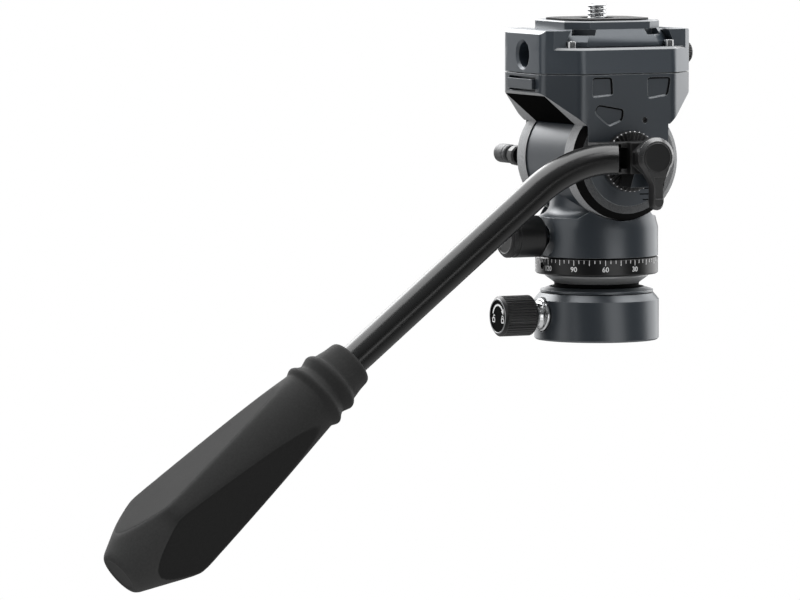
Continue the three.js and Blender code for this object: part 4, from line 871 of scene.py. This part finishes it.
def towards(tree, vector, origin, direction):   # distance in mm from the origin along a direction
    offset = addNode(tree, "VectorMath", {0: vector, 1: origin * mm}, operation="SUBTRACT")
    along = addNode(tree, "VectorMath", {0: offset.outputs["Vector"], 1: direction / mm}, operation="DOT_PRODUCT")
    return along.outputs["Value"]


def blend(tree, factor, first, second):
    return addNode(tree, "Mix", {"Factor": factor, "A": first, "B": second}, data_type="RGBA").outputs["Result"]


# Three tones: the round body, its end past the widest place, and the flats, where the reach along one of three
# directions is as large as the flat's distance from the middle
def tintGrip(material, v, mouth, ahead, facings):
    tree = material.node_tree
    place = addNode(tree, "TexCoord").outputs["Object"]
    height = towards(tree, place, mouth, ahead)
    reach = towards(tree, place, mouth, facings[0])
    for facing in facings[1:]:
        reach = mathNode(tree, "MAXIMUM", reach, towards(tree, place, mouth, facing))
    onFlat = mathNode(tree, "MULTIPLY_ADD", reach, v["sharp"], -v["sharp"] * (v["flat"] - v["lap"]), clamp=True)
    past = mathNode(tree, "SUBTRACT", height, v["neck"], clamp=True)
    onFlat = mathNode(tree, "MULTIPLY", onFlat, past)
    nearEnd = mathNode(tree, "MULTIPLY_ADD", height, v["fade"], -v["fade"] * v["widest"], clamp=True)
    body = blend(tree, nearEnd, v["bodyTone"], v["endTone"])
    tree.links.new(blend(tree, onFlat, body, v["flatTone"]), tree.nodes["tint"].inputs[0])


# Radius: the p-norm minimum of the round body and three planes at flat / cos(angle from the plane's middle).
def makeGrip(v):
    profile = densify(roundProfile(v["profile"], v["round"], v["roundPoints"]), v["step"])
    radii, heights, angles = spread(profile, v["columns"])
    flats = np.radians(v["flats"])
    cut = np.clip((heights - v["neck"]) / v["cutOver"], 0, 1)
    total = radii ** -float(v["softness"])
    for middle in flats:
        facing = np.clip(np.cos(angles - middle), v["least"], 1)
        total = total + cut * (v["flat"] / facing) ** -float(v["softness"])
    radii = np.where(heights < v["neck"], radii, total ** (-1 / v["softness"]))
    turn = math.radians(tubeValues["degrees"])
    ahead = np.array([-math.cos(turn), 0, -math.sin(turn)])
    points, normals = handlePath(tubeValues, np.array([bendEnd(tubeValues) + v["start"]]))
    mouth, up = points[0], normals[0]
    grid = mouth + heights[..., None] * ahead + radii[..., None] * handleCircle(angles, up)
    addPiece("handleGrip", gridMesh("handleGrip", grid, angle=60), "handle", "gripRubber", ["grip"])
    tintGrip(finishes["gripRubber"], v, mouth, ahead, handleCircle(flats, up))


makeGrip(gripValues)
print("handle swept")


# Camera screw: the head keeps its shape, the stem gets a real thread

threadValues = {"foot": 97.6, "tip": 107.85, "root": 2.48, "crest": 3.08, "pitch": 1.27, "chamfer": 0.8,
                "step": 0.07, "slack": 0.001, "columns": 72, "steep": 1.35, "rest": 0.12, "headTop": 0.3}


# Radius at a height and an angle: root + (crest - root) * clipped triangle wave of height / pitch - angle / turn.
def makeCameraScrew(v):
    rows = np.arange(v["foot"], v["tip"] + v["slack"], v["step"])
    angles = np.repeat(fullTurn(v["columns"])[None, :], len(rows), axis=0)
    heights = np.repeat(rows[:, None], v["columns"], axis=1)
    phase = (heights / v["pitch"] - angles / (2 * np.pi)) % 1.0
    wave = np.clip(v["steep"] * (1 - np.abs(2 * phase - 1)) - v["rest"], 0, 1)
    radii = v["root"] + (v["crest"] - v["root"]) * wave
    radii = np.minimum(radii, v["crest"] - np.clip(heights - v["tip"] + v["chamfer"], 0, None))
    stem = gridMesh("cameraScrewStem", around((0, 0, 0), (0, 0, 1), radii, heights, angles), angle=70)
    mesh, work = openCopy("camera_screw")
    cut = cutAt(work, v["foot"] + v["headTop"], clear_outer=True)
    bmesh.ops.holes_fill(work, edges=[one for one in cut["geom_cut"] if isinstance(one, bmesh.types.BMEdge)])
    work.to_mesh(mesh)
    work.free()
    smoothTo(mesh, meshValues["sharp"])
    addPiece("cameraScrewHead", mesh, "plate_screw", "brightSteel", ["camera_screw"])
    addPiece("cameraScrewStem", stem, "plate_screw", "brightSteel")


makeCameraScrew(threadValues)


# Socket screws: turned head whose top sinks into a hexagon

socketKeys = ("origin", "axis", "radius", "height", "across", "depth", "body", "slot", "finish", "replaced")
pinRow = ((0, 0, 1), 1.56, 4.2, 1.5, 1.2, "tilt_stage", "steel", "brightSteel")
socketScrews = {
    "stopPinFront": ((-17.6, -15.7, 92.0), *pinRow, ["stop_pin_front"]),
    "stopPinBack": ((17.6, -15.7, 92.0), *pinRow, ["stop_pin_back"]),
    "keyScrew": ((5.9, -19.9, 70.9), (0, -1, 0), 0.96, 1.25, 1.0, 0.7, "tilt_stage", "black_metal", "blackAnodised"),
    "scaleGrub": ((-17.3, 0, 23.95), (-1, 0, 0), 1.06, 1.9, 1.0, 0.8, "level_stage", "black_metal", "blackAnodised"),
}
socketShares = {"edge": 0.16, "shoulder": 0.3, "mouth": 1.06, "mouthDrop": 0.05, "point": 0.3, "pointDepth": 1.15,
                "columns": 96}


def makeSocketScrew(name, v):
    s = socketShares
    r, h, edge = v["radius"], v["height"], s["edge"] * v["radius"]
    angles = fullTurn(s["columns"])
    hexagon = 0.5 * v["across"] / np.cos((angles + np.pi / 6) % (np.pi / 3) - np.pi / 6)
    circle = np.ones_like(angles)
    rows = [(circle * r, 0), (circle * r, h - edge), (circle * (r - s["shoulder"] * edge), h - s["shoulder"] * edge),
            (circle * (r - edge), h), (hexagon * s["mouth"], h), (hexagon, h - s["mouthDrop"]),
            (hexagon, h - v["depth"]), (hexagon * s["point"], h - v["depth"] * s["pointDepth"])]
    radii = np.stack([row[0] for row in rows])
    heights = np.stack([np.full_like(angles, row[1]) for row in rows])
    points = around(v["origin"], v["axis"], radii, heights, np.repeat(angles[None, :], len(rows), axis=0))
    addPiece(name, gridMesh(name, points, angle=35), v["body"], v["finish"], v.get("replaced", ()))


for screwName, screwRow in socketScrews.items():
    makeSocketScrew(screwName, dict(zip(socketKeys, screwRow)))
print("screws made")


# Degree scale on the panning ring: short strokes all round, numbers at each thirty degrees

scaleValues = {"radius": 19.7, "top": 26.3, "zero": -49.7, "short": 1.05, "long": 1.7, "width": 0.22,
               "numberHeight": 23.3, "numberSize": 2.25, "raise": 0.03, "sink": 0.01, "bold": 0.035, "curve": 3,
               "tickEach": 5, "longEach": 15, "numberEach": 30}


# x on the flat becomes an angle on the ring, x / radius; a rise becomes a larger radius.
def wrapOnRing(v, across, up, rise, middleAngle):
    angle = middleAngle + across / v["radius"]
    radius = v["radius"] - v["sink"] + rise
    return np.stack([radius * np.cos(angle), radius * np.sin(angle), up], axis=-1)


def makeScale(v):
    meshes = []
    for value in range(0, 360, v["tickEach"]):
        angle = math.radians(v["zero"] - value)
        length = v["long"] if value % v["longEach"] == 0 else v["short"]
        stroke = ribbon([(0, v["top"] - length), (0, v["top"] - length / 2), (0, v["top"])], v["width"], v["raise"])
        meshes.append(gridMesh("tick", wrapOnRing(v, stroke[..., 0], stroke[..., 1], stroke[..., 2], angle), angle=20))
    for value in range(v["numberEach"], 360, v["numberEach"]):
        curve = bpy.data.curves.new("number", "FONT")
        curve.body, curve.size, curve.align_x, curve.align_y = str(value), v["numberSize"], "CENTER", "CENTER"
        curve.extrude, curve.offset, curve.resolution_u = v["raise"] / 2, v["bold"], v["curve"]
        holder = bpy.data.objects.new("number", curve)
        scene.collection.objects.link(holder)
        bpy.context.view_layer.update()
        flat = bpy.data.meshes.new_from_object(holder.evaluated_get(bpy.context.evaluated_depsgraph_get()))
        bpy.data.objects.remove(holder)
        angle = math.radians(v["zero"] - value)
        lift = np.array([0, v["numberHeight"], v["raise"] / 2])
        moveCorners(flat, lambda corners: wrapOnRing(v, *(corners + lift).T, angle), unit=1)
        flat.materials.clear()
        meshes.append(flat)
    addPiece("scaleMarks", joinMeshes("scaleMarks", meshes), "level_stage", "whiteMark")


makeScale(scaleValues)


# Three fine near-black strokes low on the near cheek, below the arm: painted shade

shadeStrokeValues = {"face": -21.4, "lines": [(2.9, 8.2, 49.2), (4.1, 8.0, 47.4), (5.2, 8.0, 45.6)], "width": 0.34,
               "raise": 0.03, "lift": 0.005}


def makeIndex(v):   # a line runs from left to right at a height
    strokes = [ribbon([(left, height), ((left + right) / 2, height), (right, height)], v["width"], v["raise"])
               for left, right, height in v["lines"]]
    face = v["face"] + v["lift"]
    printMarks("shadeStrokes", strokes, lambda right, up, rise: np.stack([right, face - rise, up], axis=-1),
               "tilt_stage", "blackWeb")


makeIndex(shadeStrokeValues)
print("marks printed")
